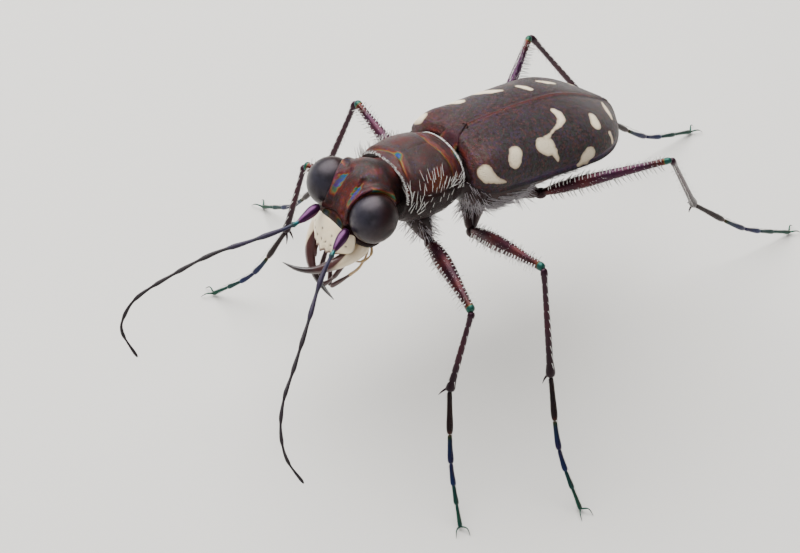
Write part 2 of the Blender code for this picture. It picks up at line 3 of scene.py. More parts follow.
import bmesh
import bpy
import numpy as np
from mathutils import Matrix, Vector


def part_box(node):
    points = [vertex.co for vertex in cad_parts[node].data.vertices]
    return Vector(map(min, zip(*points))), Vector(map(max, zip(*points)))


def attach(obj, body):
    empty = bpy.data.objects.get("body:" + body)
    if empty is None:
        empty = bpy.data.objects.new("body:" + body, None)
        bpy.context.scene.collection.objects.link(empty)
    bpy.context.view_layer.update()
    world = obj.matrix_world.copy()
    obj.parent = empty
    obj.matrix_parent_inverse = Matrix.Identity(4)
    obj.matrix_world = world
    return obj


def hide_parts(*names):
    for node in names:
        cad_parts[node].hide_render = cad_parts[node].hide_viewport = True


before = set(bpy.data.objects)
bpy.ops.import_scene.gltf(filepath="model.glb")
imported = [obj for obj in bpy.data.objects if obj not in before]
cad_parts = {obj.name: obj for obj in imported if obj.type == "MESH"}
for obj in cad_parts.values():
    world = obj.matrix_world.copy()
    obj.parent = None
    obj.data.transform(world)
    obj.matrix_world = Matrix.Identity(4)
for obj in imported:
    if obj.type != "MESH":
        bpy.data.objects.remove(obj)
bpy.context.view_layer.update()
print("frame loaded")

mm = 0.001
bothSides = {"left": 1, "right": -1}

# The stance, as the solids have it
stance = {
    "headUp": 9.6,  # degrees that the body rises towards the head
    "headDown": 66,  # degrees from the body's line down to the line of the face
    "headPivot": (0, -3.61, -0.04),  # midway between the eyes, in the body's frame, in mm
}


def middleOf(node):
    low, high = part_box(node)
    return (low + high) / 2


bodyTurn = Matrix.Rotation(-radians(stance["headUp"]), 3, "X")
headTurn = Matrix.Rotation(radians(stance["headDown"] - stance["headUp"]), 3, "X")
headOrigin = (middleOf("eye_left") + middleOf("eye_right")) / 2
bodyOrigin = headOrigin - bodyTurn @ (Vector(stance["headPivot"]) * mm)
partShift = Vector((bodyOrigin.x, bodyOrigin.y, 0))


def bodyPoint(x, y, z):
    # left, back and up from the waist, in mm
    return bodyOrigin + bodyTurn @ (Vector((x, y, z)) * mm)


def bodyPoints(points):
    turn = np.array(bodyTurn)
    return np.asarray(points) @ turn.T * mm + np.array(bodyOrigin)


def headPoint(out, down, front):
    # left, down the face and out of the face from between the eyes, in mm
    return headOrigin + headTurn @ (Vector((out, -down, front)) * mm)


def headPoints(points):
    points = np.asarray(points) * (1, -1, 1)
    return points @ np.array(headTurn).T * mm + np.array(headOrigin)


# Small helpers for shapes
def clearSelection():
    if bpy.context.object and bpy.context.object.mode != "OBJECT":
        bpy.ops.object.mode_set(mode="OBJECT")
    bpy.ops.object.select_all(action="DESELECT")


def selectOnly(piece):
    clearSelection()
    piece.select_set(True)
    bpy.context.view_layer.objects.active = piece


def editAll(piece, *operators):
    # selects the whole mesh in edit mode and runs the operators, each with its settings
    selectOnly(piece)
    bpy.ops.object.mode_set(mode="EDIT")
    bpy.ops.mesh.select_all(action="SELECT")
    for operator, settings in operators:
        operator(**settings)
    bpy.ops.object.mode_set(mode="OBJECT")


turnOutwards = (bpy.ops.mesh.normals_make_consistent, {"inside": False})


def smooth(stations, at):
    # the values beside each station's first number, read smoothly at any places
    stations = np.asarray(stations, float)
    places, values = stations[:, 0], stations[:, 1:]
    low = np.r_[0, np.arange(len(places) - 1)]
    high = np.r_[np.arange(1, len(places)), len(places) - 1]
    slopes = (values[high] - values[low]) / (places[high] - places[low])[:, None]
    at = np.clip(np.atleast_1d(np.asarray(at, float)), places[0], places[-1])
    k = np.clip(np.searchsorted(places, at, side="right") - 1, 0, len(places) - 2)
    width = (places[k + 1] - places[k])[:, None]
    t = (at - places[k])[:, None] / width
    return (
        values[k] * (2 * t**3 - 3 * t**2 + 1) + slopes[k] * width * (t**3 - 2 * t**2 + t)
        + values[k + 1] * (3 * t**2 - 2 * t**3) + slopes[k + 1] * width * (t**3 - t**2)
    )


def hump(distance, width):
    return np.exp(-(distance / width) ** 2)


def ramp(low, high, value):
    t = np.clip((value - low) / (high - low), 0, 1)
    return t * t * (3 - 2 * t)


def highest(*values):
    return np.maximum.reduce(values)


def shareGrid(rows, columns):
    # shares from 0 to 1 along a sheet and from -1 to 1 across it
    along = np.linspace(0, 1, rows + 1)[:, None].repeat(columns + 1, 1)
    across = np.linspace(-1, 1, columns + 1)[None, :].repeat(rows + 1, 0)
    return along, across


def smoothRoute(points, steps):
    stations = [(i, *point) for i, point in enumerate(points)]
    return smooth(stations, np.linspace(0, len(points) - 1, (len(points) - 1) * steps + 1))


def applyModifier(piece, kind, **settings):
    selectOnly(piece)
    modifier = piece.modifiers.new(kind.title(), kind)
    for setting, value in settings.items():
        setattr(modifier, setting, value)
    bpy.ops.object.modifier_apply(modifier=modifier.name)
    return piece


def subdivide(piece, levels):
    return applyModifier(piece, "SUBSURF", levels=levels, render_levels=levels)


def sheetOf(name, points, paints=None, closed=False):
    # a flat grid laid over rows of points, given in metres, with painted values for each point;
    # closed joins its two long edges and whatever else meets
    rows, columns = points.shape[0] - 1, points.shape[1] - 1
    clearSelection()
    bpy.ops.mesh.primitive_grid_add(x_subdivisions=columns, y_subdivisions=rows, size=1)
    piece = bpy.context.object
    piece.name = piece.data.name = name
    places = coordinates(piece)
    i = np.rint((places[:, 0] + 0.5) * columns).astype(int)
    j = np.rint((places[:, 1] + 0.5) * rows).astype(int)
    piece.data.vertices.foreach_set("co", points[j, i].ravel())
    for value, numbers in (paints or {}).items():
        paint(piece, value, numbers[j, i])
    piece.data.update()
    if closed:
        editAll(piece, (bpy.ops.mesh.remove_doubles, {"threshold": 1e-7}), turnOutwards)
    return piece


def faceOutwards(piece, away):
    # turns an open sheet over if it faces the point that it should face away from
    outward = sum((face.center - away).dot(face.normal) * face.area for face in piece.data.polygons)
    if outward < 0:
        editAll(piece, (bpy.ops.mesh.flip_normals, {}))
    return piece


def routeFrames(route):
    # for each place on a route: the way it runs and two directions across it
    route = [Vector(place) for place in route]
    frames = []
    across = None
    for i, place in enumerate(route):
        line = (route[min(i + 1, len(route) - 1)] - route[max(i - 1, 0)]).normalized()
        across = line.orthogonal() if across is None else across
        across = (across - line * across.dot(line)).normalized()
        frames.append((place, line, across, line.cross(across)))
    return frames


def turnOf(offset, ring, squash):
    # where round a ring a place lies, as a direction in the ring's own plane
    return Vector((offset.dot(ring[2]), offset.dot(ring[3]) / squash)).normalized()


def limb(name, lengths, sides=12, levels=1):
    # each length is a route with its radii, and perhaps its up and a squash across it: a circle at
    # its root is extruded from ring to ring, and every ring is set square to the route
    clearSelection()
    piece = None
    for length in lengths:
        route, radii = length["route"], length["radii"]
        frames = routeFrames(route)
        if "up" in length:
            for i, (place, line, _, _) in enumerate(frames):
                up = (length["up"] - line * length["up"].dot(line)).normalized()
                frames[i] = (place, line, up, line.cross(up))
        squash = length.get("squash", 1)
        bpy.ops.mesh.primitive_circle_add(vertices=sides, radius=1, fill_type="NGON")
        if piece is None:
            piece = bpy.context.object
            piece.name = piece.data.name = name
            bpy.ops.object.mode_set(mode="EDIT")
        step = Vector((0, 0, 0.001))
        for i, ((place, line, across, other), radius) in enumerate(zip(frames, radii)):
            if i:
                bpy.ops.mesh.extrude_region_move(TRANSFORM_OT_translate={"value": step})
            mesh = bmesh.from_edit_mesh(piece.data)
            ring = [vert for vert in mesh.verts if vert.select]
            spots = [
                turnOf(vert.co - step - frames[i - 1][0], frames[i - 1], squash)
                if i else vert.co.xy.normalized()
                for vert in ring
            ]
            for vert, spot in zip(ring, spots):
                vert.co = place + (across * spot.x + other * spot.y * squash) * radius
            bmesh.update_edit_mesh(piece.data)
        bpy.ops.mesh.select_all(action="DESELECT")
    bpy.ops.mesh.select_all(action="SELECT")
    bpy.ops.mesh.normals_make_consistent(inside=False)
    bpy.ops.object.mode_set(mode="OBJECT")
    if levels:
        subdivide(piece, levels)
    return piece


def coordinates(piece):
    places = np.empty(len(piece.data.vertices) * 3)
    piece.data.vertices.foreach_get("co", places)
    return places.reshape(-1, 3)


def alongLine(piece, start, end):
    # where each vertex lies between two places, from 0 to 1
    start, end = np.array(start), np.array(end)
    line = end - start
    return (coordinates(piece) - start) @ line / (line @ line)


def nearestRing(piece, places):
    return np.argmin(np.linalg.norm(coordinates(piece)[:, None] - places[None], axis=2), axis=1)


def inBody(piece):
    return (coordinates(piece) - np.array(bodyOrigin)) @ np.array(bodyTurn) / mm


def inHead(piece):
    return (coordinates(piece) - np.array(headOrigin)) @ np.array(headTurn) / mm * (1, -1, 1)


def paint(piece, name, values):
    attribute = piece.data.attributes.new(name, "FLOAT", "POINT")
    attribute.data.foreach_set("value", np.asarray(values, np.float32))


def finishPiece(piece, material, slot, *nodes):
    piece.data.materials.clear()
    piece.data.materials.append(material)
    selectOnly(piece)
    bpy.ops.object.shade_smooth()
    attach(piece, "root")
    if nodes:
        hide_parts(*nodes)
    return piece


# Finishes
def feed(tree, socket, value):
    # links a node's output to a socket, or sets the socket to a plain value
    if isinstance(value, bpy.types.NodeSocket):
        tree.links.new(value, socket)
    else:
        socket.default_value = value


def feedAll(tree, node, inputs):
    for name, value in inputs.items():
        feed(tree, node.inputs[name.replace("_", " ")], value)
    return node


def addNode(tree, kind, settings=None, **inputs):
    node = tree.nodes.new(kind)
    for setting, value in (settings or {}).items():
        setattr(node, setting, value)
    return feedAll(tree, node, inputs)


def inMillimetres(tree):
    place = tree.nodes.new("ShaderNodeTexCoord").outputs["Object"]
    scaled = addNode(tree, "ShaderNodeVectorMath", {"operation": "SCALE"}, Vector=place, Scale=1 / mm)
    return scaled.outputs[0]


def cloudy(tree, scale, detail):
    # soft noise, in clouds per mm
    noise = addNode(tree, "ShaderNodeTexNoise", Vector=inMillimetres(tree), Scale=scale, Detail=detail)
    return noise.outputs["Fac"]


def rampNode(tree, factor, stops, interpolation="LINEAR"):
    node = addNode(tree, "ShaderNodeValToRGB", Fac=factor)
    node.color_ramp.interpolation = interpolation
    elements = node.color_ramp.elements
    while len(elements) < len(stops):
        elements.new(0.5)
    for element, (place, color) in zip(elements, stops):
        element.position = place
        element.color = (*color, 1)
    return node.outputs["Color"]


def mixColor(tree, factor, first, second, blend="MIX"):
    node = tree.nodes.new("ShaderNodeMix")
    node.data_type = "RGBA"
    node.blend_type = blend
    for name, value in (("Factor", factor), ("A", first), ("B", second)):
        kind = "VALUE" if name == "Factor" else "RGBA"
        feed(tree, next(item for item in node.inputs if item.name == name and item.type == kind), value)
    return next(item for item in node.outputs if item.type == "RGBA")


def mathNode(tree, operation, first, second=0.0, third=0.0, clamp=False):
    node = tree.nodes.new("ShaderNodeMath")
    node.operation = operation
    node.use_clamp = clamp
    for socket, value in zip(node.inputs, (first, second, third)):
        feed(tree, socket, value)
    return node.outputs[0]


def startGroup(name, inputs, outputs):
    tree = bpy.data.node_groups.new(name, "ShaderNodeTree")
    for socket, kind, value in inputs:
        tree.interface.new_socket(name=socket, in_out="INPUT", socket_type=kind).default_value = value
    for socket, kind in outputs:
        tree.interface.new_socket(name=socket, in_out="OUTPUT", socket_type=kind)
    return tree, tree.nodes.new("NodeGroupInput"), tree.nodes.new("NodeGroupOutput")


def makeGrain():
    # pits in a shell and the fine leathery net between them, per mm
    tree, given, out = startGroup(
        "cuticleGrain",
        [("Pits per mm", "NodeSocketFloat", 9.0), ("Pit depth", "NodeSocketFloat", 0.6),
         ("Net per mm", "NodeSocketFloat", 34.0), ("Net depth", "NodeSocketFloat", 0.25)],
        [("Height", "NodeSocketFloat"), ("Pits", "NodeSocketFloat"), ("Mottle", "NodeSocketFloat"),
         ("Cell", "NodeSocketFloat")],
    )
    inMm = inMillimetres(tree)
    cells = addNode(
        tree, "ShaderNodeTexVoronoi", {"feature": "F1"}, Vector=inMm, Scale=given.outputs["Pits per mm"],
        Randomness=0.85,
    )
    pit = mathNode(tree, "MULTIPLY", cells.outputs["Distance"], 2.0)
    pit = mathNode(tree, "SUBTRACT", 1.0, pit, clamp=True)
    pit = mathNode(tree, "POWER", pit, 1.6)
    net = addNode(
        tree, "ShaderNodeTexVoronoi", {"feature": "DISTANCE_TO_EDGE"}, Vector=inMm,
        Scale=given.outputs["Net per mm"],
    ).outputs["Distance"]
    net = mathNode(tree, "MULTIPLY", net, 3.0, clamp=True)
    mottle = addNode(tree, "ShaderNodeTexNoise", Vector=inMm, Scale=1.7, Detail=4.0, Roughness=0.6)
    height = mathNode(
        tree, "ADD",
        mathNode(tree, "MULTIPLY", pit, mathNode(tree, "MULTIPLY", given.outputs["Pit depth"], -1.0)),
        mathNode(tree, "MULTIPLY", net, given.outputs["Net depth"]),
    )
    tree.links.new(height, out.inputs["Height"])
    tree.links.new(pit, out.inputs["Pits"])
    tree.links.new(mottle.outputs["Fac"], out.inputs["Mottle"])
    tree.links.new(cells.outputs["Color"], out.inputs["Cell"])
    return tree


filmStops = (  # the order in which a thin metallic film changes colour
    (0.0, (0.040, 0.010, 0.010)), (0.22, (0.13, 0.014, 0.010)), (0.38, (0.22, 0.060, 0.010)),
    (0.50, (0.16, 0.13, 0.025)), (0.62, (0.025, 0.14, 0.045)), (0.76, (0.006, 0.11, 0.12)),
    (0.90, (0.004, 0.050, 0.27)), (1.0, (0.030, 0.015, 0.20)),
)


def makeFilm():
    # a metallic shell colour: the body colour, changed to a film colour where Film is over 0
    tree, given, out = startGroup(
        "metalFilm",
        [("Body", "NodeSocketColor", (0.1, 0.04, 0.04, 1)), ("Film", "NodeSocketFloat", 0.0),
         ("Waver", "NodeSocketFloat", 0.5), ("Waver strength", "NodeSocketFloat", 0.12)],
        [("Color", "NodeSocketColor")],
    )
    waver = mathNode(tree, "SUBTRACT", given.outputs["Waver"], 0.5)
    waver = mathNode(tree, "MULTIPLY", waver, given.outputs["Waver strength"])
    film = mathNode(tree, "ADD", given.outputs["Film"], waver, clamp=True)
    shown = mathNode(tree, "MULTIPLY", mathNode(tree, "SUBTRACT", film, 0.06), 5.0, clamp=True)
    color = mixColor(tree, shown, given.outputs["Body"], rampNode(tree, film, filmStops))
    tree.links.new(color, out.inputs["Color"])
    return tree


grainGroup, filmGroup = makeGrain(), makeFilm()


def placeGroup(tree, group, **inputs):
    node = tree.nodes.new("ShaderNodeGroup")
    node.node_tree = group
    return feedAll(tree, node, inputs)


def startMaterial(name, **constants):
    material = bpy.data.materials.new(name)
    material.use_nodes = True
    tree = material.node_tree
    shader = tree.nodes["Principled BSDF"]
    for socket, value in constants.items():
        shader.inputs[socket.replace("_", " ")].default_value = value
    return material, tree, shader


def readPaint(tree, name):
    return addNode(tree, "ShaderNodeAttribute", {"attribute_name": name}).outputs["Fac"]


def bumpInto(tree, shader, height, strength, distance):
    bump = addNode(tree, "ShaderNodeBump", Height=height, Strength=strength, Distance=distance * mm)
    tree.links.new(bump.outputs["Normal"], shader.inputs["Normal"])


glints = (  # the colours of single pits
    (0.2, (0.17, 0.040, 0.030)), (0.42, (0.012, 0.007, 0.008)), (0.6, (0.040, 0.080, 0.040)),
    (0.8, (0.040, 0.040, 0.12)),
)


def metalGround(tree, look):
    # the grain, and the mottled body colour with its painted film colours over it
    grain = placeGroup(
        tree, grainGroup, Pits_per_mm=look["pits"], Pit_depth=look["pitDepth"],
        Net_per_mm=look["net"], Net_depth=look["netDepth"],
    )
    mottle = grain.outputs["Mottle"]
    body = mixColor(tree, mottle, (*look["dark"], 1), (*look["light"], 1))
    film = placeGroup(
        tree, filmGroup, Body=body, Film=readPaint(tree, "film"), Waver=mottle, Waver_strength=look["waver"],
    )
    return grain, film.outputs["Color"]


def mottledRoughness(tree, shader, mottle, spread, least):
    tree.links.new(mathNode(tree, "MULTIPLY_ADD", mottle, spread, least), shader.inputs["Roughness"])


def shellMaterial(name, look):
    # a metallic shell with its painted film colours, pits and mottling
    material, tree, shader = startMaterial(
        name, Metallic=look["metallic"], Coat_Roughness=0.28, Specular_IOR_Level=0.2,
    )
    grain, color = metalGround(tree, look)
    shade = mathNode(tree, "MULTIPLY", readPaint(tree, "shade"), 0.9)
    color = mixColor(tree, readPaint(tree, "purple"), color, (0.13, 0.015, 0.05, 1))
    color = mixColor(tree, shade, color, (0.007, 0.0012, 0.0012, 1))
    glint = rampNode(tree, grain.outputs["Cell"], glints)
    glinting = mathNode(tree, "MULTIPLY_ADD", grain.outputs["Pits"], look["glintShare"], 0.08)
    glinting = mathNode(tree, "MULTIPLY", glinting, mathNode(tree, "SUBTRACT", 1.0, shade))
    color = mixColor(tree, glinting, color, glint)
    tree.links.new(color, shader.inputs["Base Color"])
    coatWeight = mathNode(tree, "MULTIPLY_ADD", shade, -look["coat"], look["coat"])
    tree.links.new(coatWeight, shader.inputs["Coat Weight"])
    mottledRoughness(tree, shader, grain.outputs["Mottle"], 0.2, look["rough"])
    bumpInto(tree, shader, grain.outputs["Height"], look["bump"], look["bumpDepth"])
    return material


def duskyMaterial(name, look):
    # the darker metal of legs and belly, with one more painted colour
    material, tree, shader = startMaterial(
        name, Metallic=look["metallic"], Coat_Weight=0.12, Coat_Roughness=look["coatRough"],
        Specular_IOR_Level=0.3,
    )
    grain, color = metalGround(tree, look)
    paintName, paintColor = look["over"]
    color = mixColor(tree, readPaint(tree, paintName), color, (*paintColor, 1))
    shade = mathNode(tree, "MULTIPLY", readPaint(tree, "shade"), look["shadeShare"])
    tree.links.new(mixColor(tree, shade, color, (*look["shade"], 1)), shader.inputs["Base Color"])
    mottledRoughness(tree, shader, grain.outputs["Mottle"], 0.2, look["rough"])
    bumpInto(tree, shader, grain.outputs["Height"], look["bump"], look["bumpDepth"])
    return material


# The wing cases
elytra = {
    "front": 0.38, "length": 7.47,  # along the body, in mm
    "roundness": 2.35,  # of the cross-section: 2 is an ellipse
    "seam": 0.012,  # from the middle to each inner edge
    "thickness": 0.13,
    "rows": 230, "columns": 110,
    # share of the length, half width, height on the seam, height at the margin
    "stations": (
        (0.00, 1.66, 1.06, 0.12), (0.025, 1.90, 1.21, 0.00), (0.08, 2.04, 1.32, -0.10),
        (0.20, 2.08, 1.39, -0.16), (0.42, 2.14, 1.42, -0.18), (0.60, 2.20, 1.32, -0.18),
        (0.71, 2.20, 1.13, -0.15), (0.81, 1.98, 0.85, -0.09), (0.89, 1.52, 0.58, -0.02),
        (0.953, 0.90, 0.36, 0.04), (1.00, 0.34, 0.22, 0.06),
    ),
    # cream marks: strokes through (mm from the seam, mm along the body, radius); the band on the
    # right is broken where the left one only narrows
    "marks": {
        1: (
            ((1.86, 0.62, 0.27), (2.02, 0.68, 0.25), (2.28, 0.90, 0.13), (2.42, 1.08, 0.08),
             (2.52, 1.28, 0.03)),
            ((1.70, 1.90, 0.26), (1.92, 1.77, 0.27)),
            ((1.80, 3.08, 0.28), (1.90, 3.26, 0.31), (2.14, 3.45, 0.15), (2.47, 3.58, 0.05)),
            ((1.64, 3.30, 0.11), (1.52, 3.58, 0.045), (1.42, 3.86, 0.05), (1.30, 4.16, 0.10),
             (1.14, 4.38, 0.17), (0.92, 4.42, 0.17), (0.75, 4.34, 0.13)),
            ((1.28, 5.82, 0.19), (1.56, 5.70, 0.23)),
            ((2.60, 5.00, 0.27), (2.70, 4.86, 0.27), (2.90, 4.56, 0.10)),
            ((0.30, 7.28, 0.05), (0.62, 7.10, 0.12), (0.92, 6.96, 0.13), (1.25, 6.84, 0.05)),
            ((1.92, 6.18, 0.08), (2.24, 6.24, 0.06)),
        ),
        -1: (
            ((1.62, 0.56, 0.24), (1.84, 0.62, 0.25), (2.20, 0.92, 0.13), (2.36, 1.10, 0.07),
             (2.48, 1.26, 0.03)),
            ((1.42, 1.95, 0.23), (1.74, 1.83, 0.27)),
            ((1.02, 3.52, 0.08), (1.22, 3.24, 0.19), (1.52, 3.00, 0.27), (1.80, 3.08, 0.28),
             (2.14, 3.40, 0.15), (2.47, 3.54, 0.05)),
            ((0.98, 4.26, 0.10), (0.76, 4.36, 0.15), (0.58, 4.44, 0.12)),
            ((1.02, 5.28, 0.11), (0.88, 5.56, 0.16), (0.80, 5.82, 0.10)),
            ((2.60, 5.00, 0.27), (2.70, 4.86, 0.27), (2.90, 4.56, 0.10)),
            ((0.96, 6.94, 0.10), (1.30, 6.82, 0.04)),
        ),
    },
}


def strokeDepth(marks, points, fromSeam, place):
    # how far inside the marks each point of the shell lies, in mm, and below 0 outside them
    deepest = np.full(fromSeam.shape, -9.0)
    for mark in marks:
        spots = []
        for s, y, radius in mark:
            j = np.abs(place - y).argmin()
            spots.append((points[j, np.abs(fromSeam[j] - s).argmin()], radius))
        for (start, r0), (end, r1) in zip(spots, spots[1:]):
            line = end - start
            t = np.clip((points - start) @ line / (line @ line), 0, 1)
            away = np.linalg.norm(points - start - line * t[..., None], axis=-1)
            deepest = np.maximum(deepest, r0 + (r1 - r0) * t - away)
    return deepest


def elytraSection(y, turns):
    # x and height of the closed shells at a place along the body; turns run from seam to margin
    half, top, margin = smooth(elytra["stations"], (y - elytra["front"]) / elytra["length"])[0]
    power = 2 / elytra["roundness"]
    x = elytra["seam"] + (half - elytra["seam"]) * np.sin(turns) ** power
    z = margin + (top - margin) * np.maximum(np.cos(turns), 0) ** power
    return x, z


def makeElytron(sideName, side):
    rows, columns = elytra["rows"], elytra["columns"]
    turns = pi / 2 * np.linspace(0, 1, columns + 1) ** 0.9
    points = np.zeros((rows + 1, columns + 1, 3))
    fromSeam = np.zeros((rows + 1, columns + 1))
    fromMargin = np.zeros((rows + 1, columns + 1))
    shares = np.linspace(0, 1, rows + 1)
    for j, share in enumerate(shares):
        y = elytra["front"] + share * elytra["length"]
        x, z = elytraSection(y, turns)
        steps = np.hypot(np.diff(x), np.diff(z))
        walked = np.r_[0, np.cumsum(steps)]
        left = walked[-1] - walked
        nx, nz = np.gradient(-z), np.gradient(x)
        size = np.hypot(nx, nz)
        nx, nz = nx / size, nz / size
        lift = 0.035 * hump(walked, 0.05) - 0.012 * hump(walked - 0.13, 0.05)
        lift += 0.030 * hump(left, 0.05) - 0.030 * hump(left - 0.13, 0.06)
        lift += 0.075 * hump(walked - 1.55, 0.36) * hump(y - 0.95, 0.42)  # shoulder bump
        lift -= 0.055 * hump(walked - 0.95, 0.30) * hump(y - 0.85, 0.40)
        lift += 0.012 * np.sin(walked * 3.1 + y * 1.3) * hump(walked - 1.5, 1.0)
        lift *= ramp(0, 0.1, walked[-1])
        points[j] = np.stack([side * (x + nx * lift), np.full_like(x, y), z + nz * lift], 1)
        fromSeam[j], fromMargin[j] = walked, left
    # the shoulders reach forward, the front edge rolls down towards the waist, the hind edge tucks under
    points[..., 1] -= 0.13 * ramp(0.5, 1.5, fromSeam) * np.clip(1 - shares / 0.09, 0, 1)[:, None]
    roll = np.clip(1 - shares / 0.02, 0, 1)[:, None]
    points[..., 0] *= 1 - 0.12 * roll**2
    points[..., 2] -= 0.22 * roll**2 * ramp(-0.3, 0.8, points[..., 2])
    tuck = np.clip((shares - 0.985) / 0.015, 0, 1)[:, None]
    points[..., 2] -= 0.10 * tuck**2
    # the tip of each shell curves away from the seam
    open_ = 0.10 * np.clip((shares - 0.97) / 0.03, 0, 1)[:, None] ** 2
    points[..., 0] += side * open_ * np.maximum(0, 0.3 - np.abs(points[..., 0])) / 0.3
    along = shares[:, None]
    place = elytra["front"] + along * elytra["length"]
    gold = 0.46 * hump(fromSeam - 0.055, 0.016) * ramp(0.04, 0.12, along) * (1 - ramp(0.30, 0.48, along))
    front = 0.26 * hump(along - 0.004, 0.006) * hump(fromSeam - 0.8, 0.40)
    paints = {
        "mark": strokeDepth(elytra["marks"][side], points, fromSeam, place[:, 0]),
        "film": np.maximum(gold, front), "edge": hump(fromMargin, 0.05) + 0.6 * hump(along - 1, 0.012),
        "violet": 0.6 * hump(fromMargin - 0.14, 0.09) * (1 - ramp(0.7, 0.9, along)) * ramp(0.1, 0.35, along),
        "warm": np.maximum(
            0.80 * hump(fromSeam, 0.035) * (1 - ramp(0.80, 0.98, along)),
            0.50 * hump(fromSeam - 1.3, 0.9) * hump(along, 0.10) + 0.18 * hump(fromSeam, 0.5) * (1 - along),
        ),
    }
    piece = sheetOf(f"elytron_{sideName}_shell", bodyPoints(points), paints)
    faceOutwards(piece, bodyPoint(0, 4, -0.5))
    applyModifier(piece, "SOLIDIFY", thickness=elytra["thickness"] * mm, offset=-1)
    return finishPiece(piece, elytraFinish, "wing_cases", f"elytron_{sideName}")


def makeElytraFinish():
    look = {
        "dark": (0.016, 0.0085, 0.0105), "light": (0.032, 0.017, 0.020), "cream": (0.90, 0.77, 0.56),
        "creamShade": (0.55, 0.42, 0.27), "edge": (0.010, 0.006, 0.008),
        "warm": (0.13, 0.020, 0.012), "violet": (0.05, 0.012, 0.12),
        "glints": (
            (0.22, (0.110, 0.040, 0.034)), (0.42, (0.002, 0.0014, 0.002)), (0.60, (0.028, 0.052, 0.030)),
            (0.78, (0.050, 0.028, 0.070)),
        ),
    }
    material, tree, shader = startMaterial(
        "wingCase", Coat_Weight=0.06, Coat_Roughness=0.35, Specular_IOR_Level=0.30,
    )
    grain = placeGroup(
        tree, grainGroup, Pits_per_mm=12.5, Pit_depth=1.0, Net_per_mm=40.0, Net_depth=0.3,
    )
    wander = cloudy(tree, 7.0, 2.0)
    ground = mixColor(tree, grain.outputs["Mottle"], (*look["dark"], 1), (*look["light"], 1))
    ground = mixColor(tree, readPaint(tree, "warm"), ground, (*look["warm"], 1))
    ground = mixColor(tree, readPaint(tree, "violet"), ground, (*look["violet"], 1))
    glint = rampNode(tree, grain.outputs["Cell"], look["glints"])
    glinting = mathNode(tree, "MULTIPLY_ADD", grain.outputs["Pits"], 0.8, 0.38, clamp=True)
    ground = mixColor(tree, glinting, ground, glint)
    film = placeGroup(
        tree, filmGroup, Body=ground, Film=readPaint(tree, "film"), Waver=grain.outputs["Mottle"],
        Waver_strength=0.10,
    )
    mark = mathNode(tree, "SUBTRACT", readPaint(tree, "mark"), 0.035)
    mark = mathNode(tree, "MULTIPLY_ADD", wander, 0.07, mark)
    shown = mathNode(tree, "MULTIPLY_ADD", mark, 26.0, 0.5, clamp=True)
    within = mathNode(tree, "MULTIPLY", mark, 9.0, clamp=True)
    cream = mixColor(tree, within, (*look["creamShade"], 1), (*look["cream"], 1))
    cream = mixColor(
        tree, mathNode(tree, "MULTIPLY", grain.outputs["Pits"], 0.35), cream, (*look["creamShade"], 1)
    )
    color = mixColor(tree, shown, film.outputs["Color"], cream)
    color = mixColor(tree, readPaint(tree, "edge"), color, (*look["edge"], 1))
    tree.links.new(color, shader.inputs["Base Color"])
    metal = mathNode(tree, "MULTIPLY_ADD", shown, -0.45, 0.45)
    tree.links.new(metal, shader.inputs["Metallic"])
    mottledRoughness(tree, shader, grain.outputs["Mottle"], 0.18, 0.36)
    bumpInto(tree, shader, grain.outputs["Height"], 1.0, 0.030)
    return material


elytraFinish = makeElytraFinish()
for sideName, side in bothSides.items():
    makeElytron(sideName, side)
print("wing cases made")


# The ring behind the head
pronotum = {
    "front": -2.35, "back": 0.10,  # along the body, in mm
    "rows": 130, "columns": 168, "roundness": 2.25,
    # y, half width, top, bottom
    "stations": (
        (-2.35, 1.25, 0.97, -1.00), (-2.20, 1.37, 1.09, -1.12), (-1.85, 1.46, 1.15, -1.21),
        (-1.15, 1.55, 1.22, -1.28), (-0.50, 1.46, 1.17, -1.26), (-0.15, 1.36, 1.08, -1.18),
        (0.10, 1.24, 0.98, -1.05),
    ),
    "frontGroove": -2.17, "frontDip": 0.24,  # the front groove bends back in the middle
    "rearGroove": -0.52, "rearDip": 0.12,
}
shellFinish = shellMaterial("pronotumShell", {
    "metallic": 0.55, "dark": (0.026, 0.012, 0.012), "light": (0.062, 0.034, 0.032), "pits": 11.0,
    "pitDepth": 0.8, "net": 30.0, "netDepth": 0.5, "rough": 0.30, "waver": 0.62, "coat": 0.12,
    "bump": 0.9, "bumpDepth": 0.024, "glintShare": 0.8,
})


def pronotumAt(turn, y):
    # turn is 0 on the midline of the back and grows to the left; both may be arrays
    half, top, bottom = smooth(pronotum["stations"], np.ravel(y)).T
    shape = np.shape(y)
    half, top, bottom = half.reshape(shape), top.reshape(shape), bottom.reshape(shape)
    across, up = np.sin(turn), np.cos(turn)
    n = pronotum["roundness"]
    stretch = (np.abs(across) ** n + np.abs(up) ** n) ** (-1 / n)
    x = half * across * stretch
    z = (top + bottom) / 2 + (top - bottom) / 2 * up * stretch
    frontLine, rearLine = grooveLines(x)
    back = ramp(-0.5, 0.3, z)
    lift = -0.085 * hump(y - frontLine, 0.075) * (0.35 + 0.65 * back)
    lift -= 0.100 * hump(y - rearLine, 0.085) * (0.35 + 0.65 * back)
    lift += 0.012 * hump(y - frontLine - 0.2, 0.14) + 0.012 * hump(y - rearLine + 0.2, 0.14)
    between = ramp(-0.05, 0.12, y - frontLine) * ramp(-0.05, 0.12, rearLine - y)
    lift -= 0.024 * hump(x, 0.045) * between * (z > 0)
    lift += 0.03 * hump(y + 2.31, 0.045) + 0.03 * hump(y - 0.06, 0.045)  # a lip at each end
    edge = np.abs(np.abs(turn) - 1.32)
    lift -= 0.05 * hump(edge, 0.045) * ramp(-2.3, -2.0, y) * ramp(0.05, -0.3, y)
    return np.stack([x + lift * across, y + 0 * lift, z + lift * up], -1)


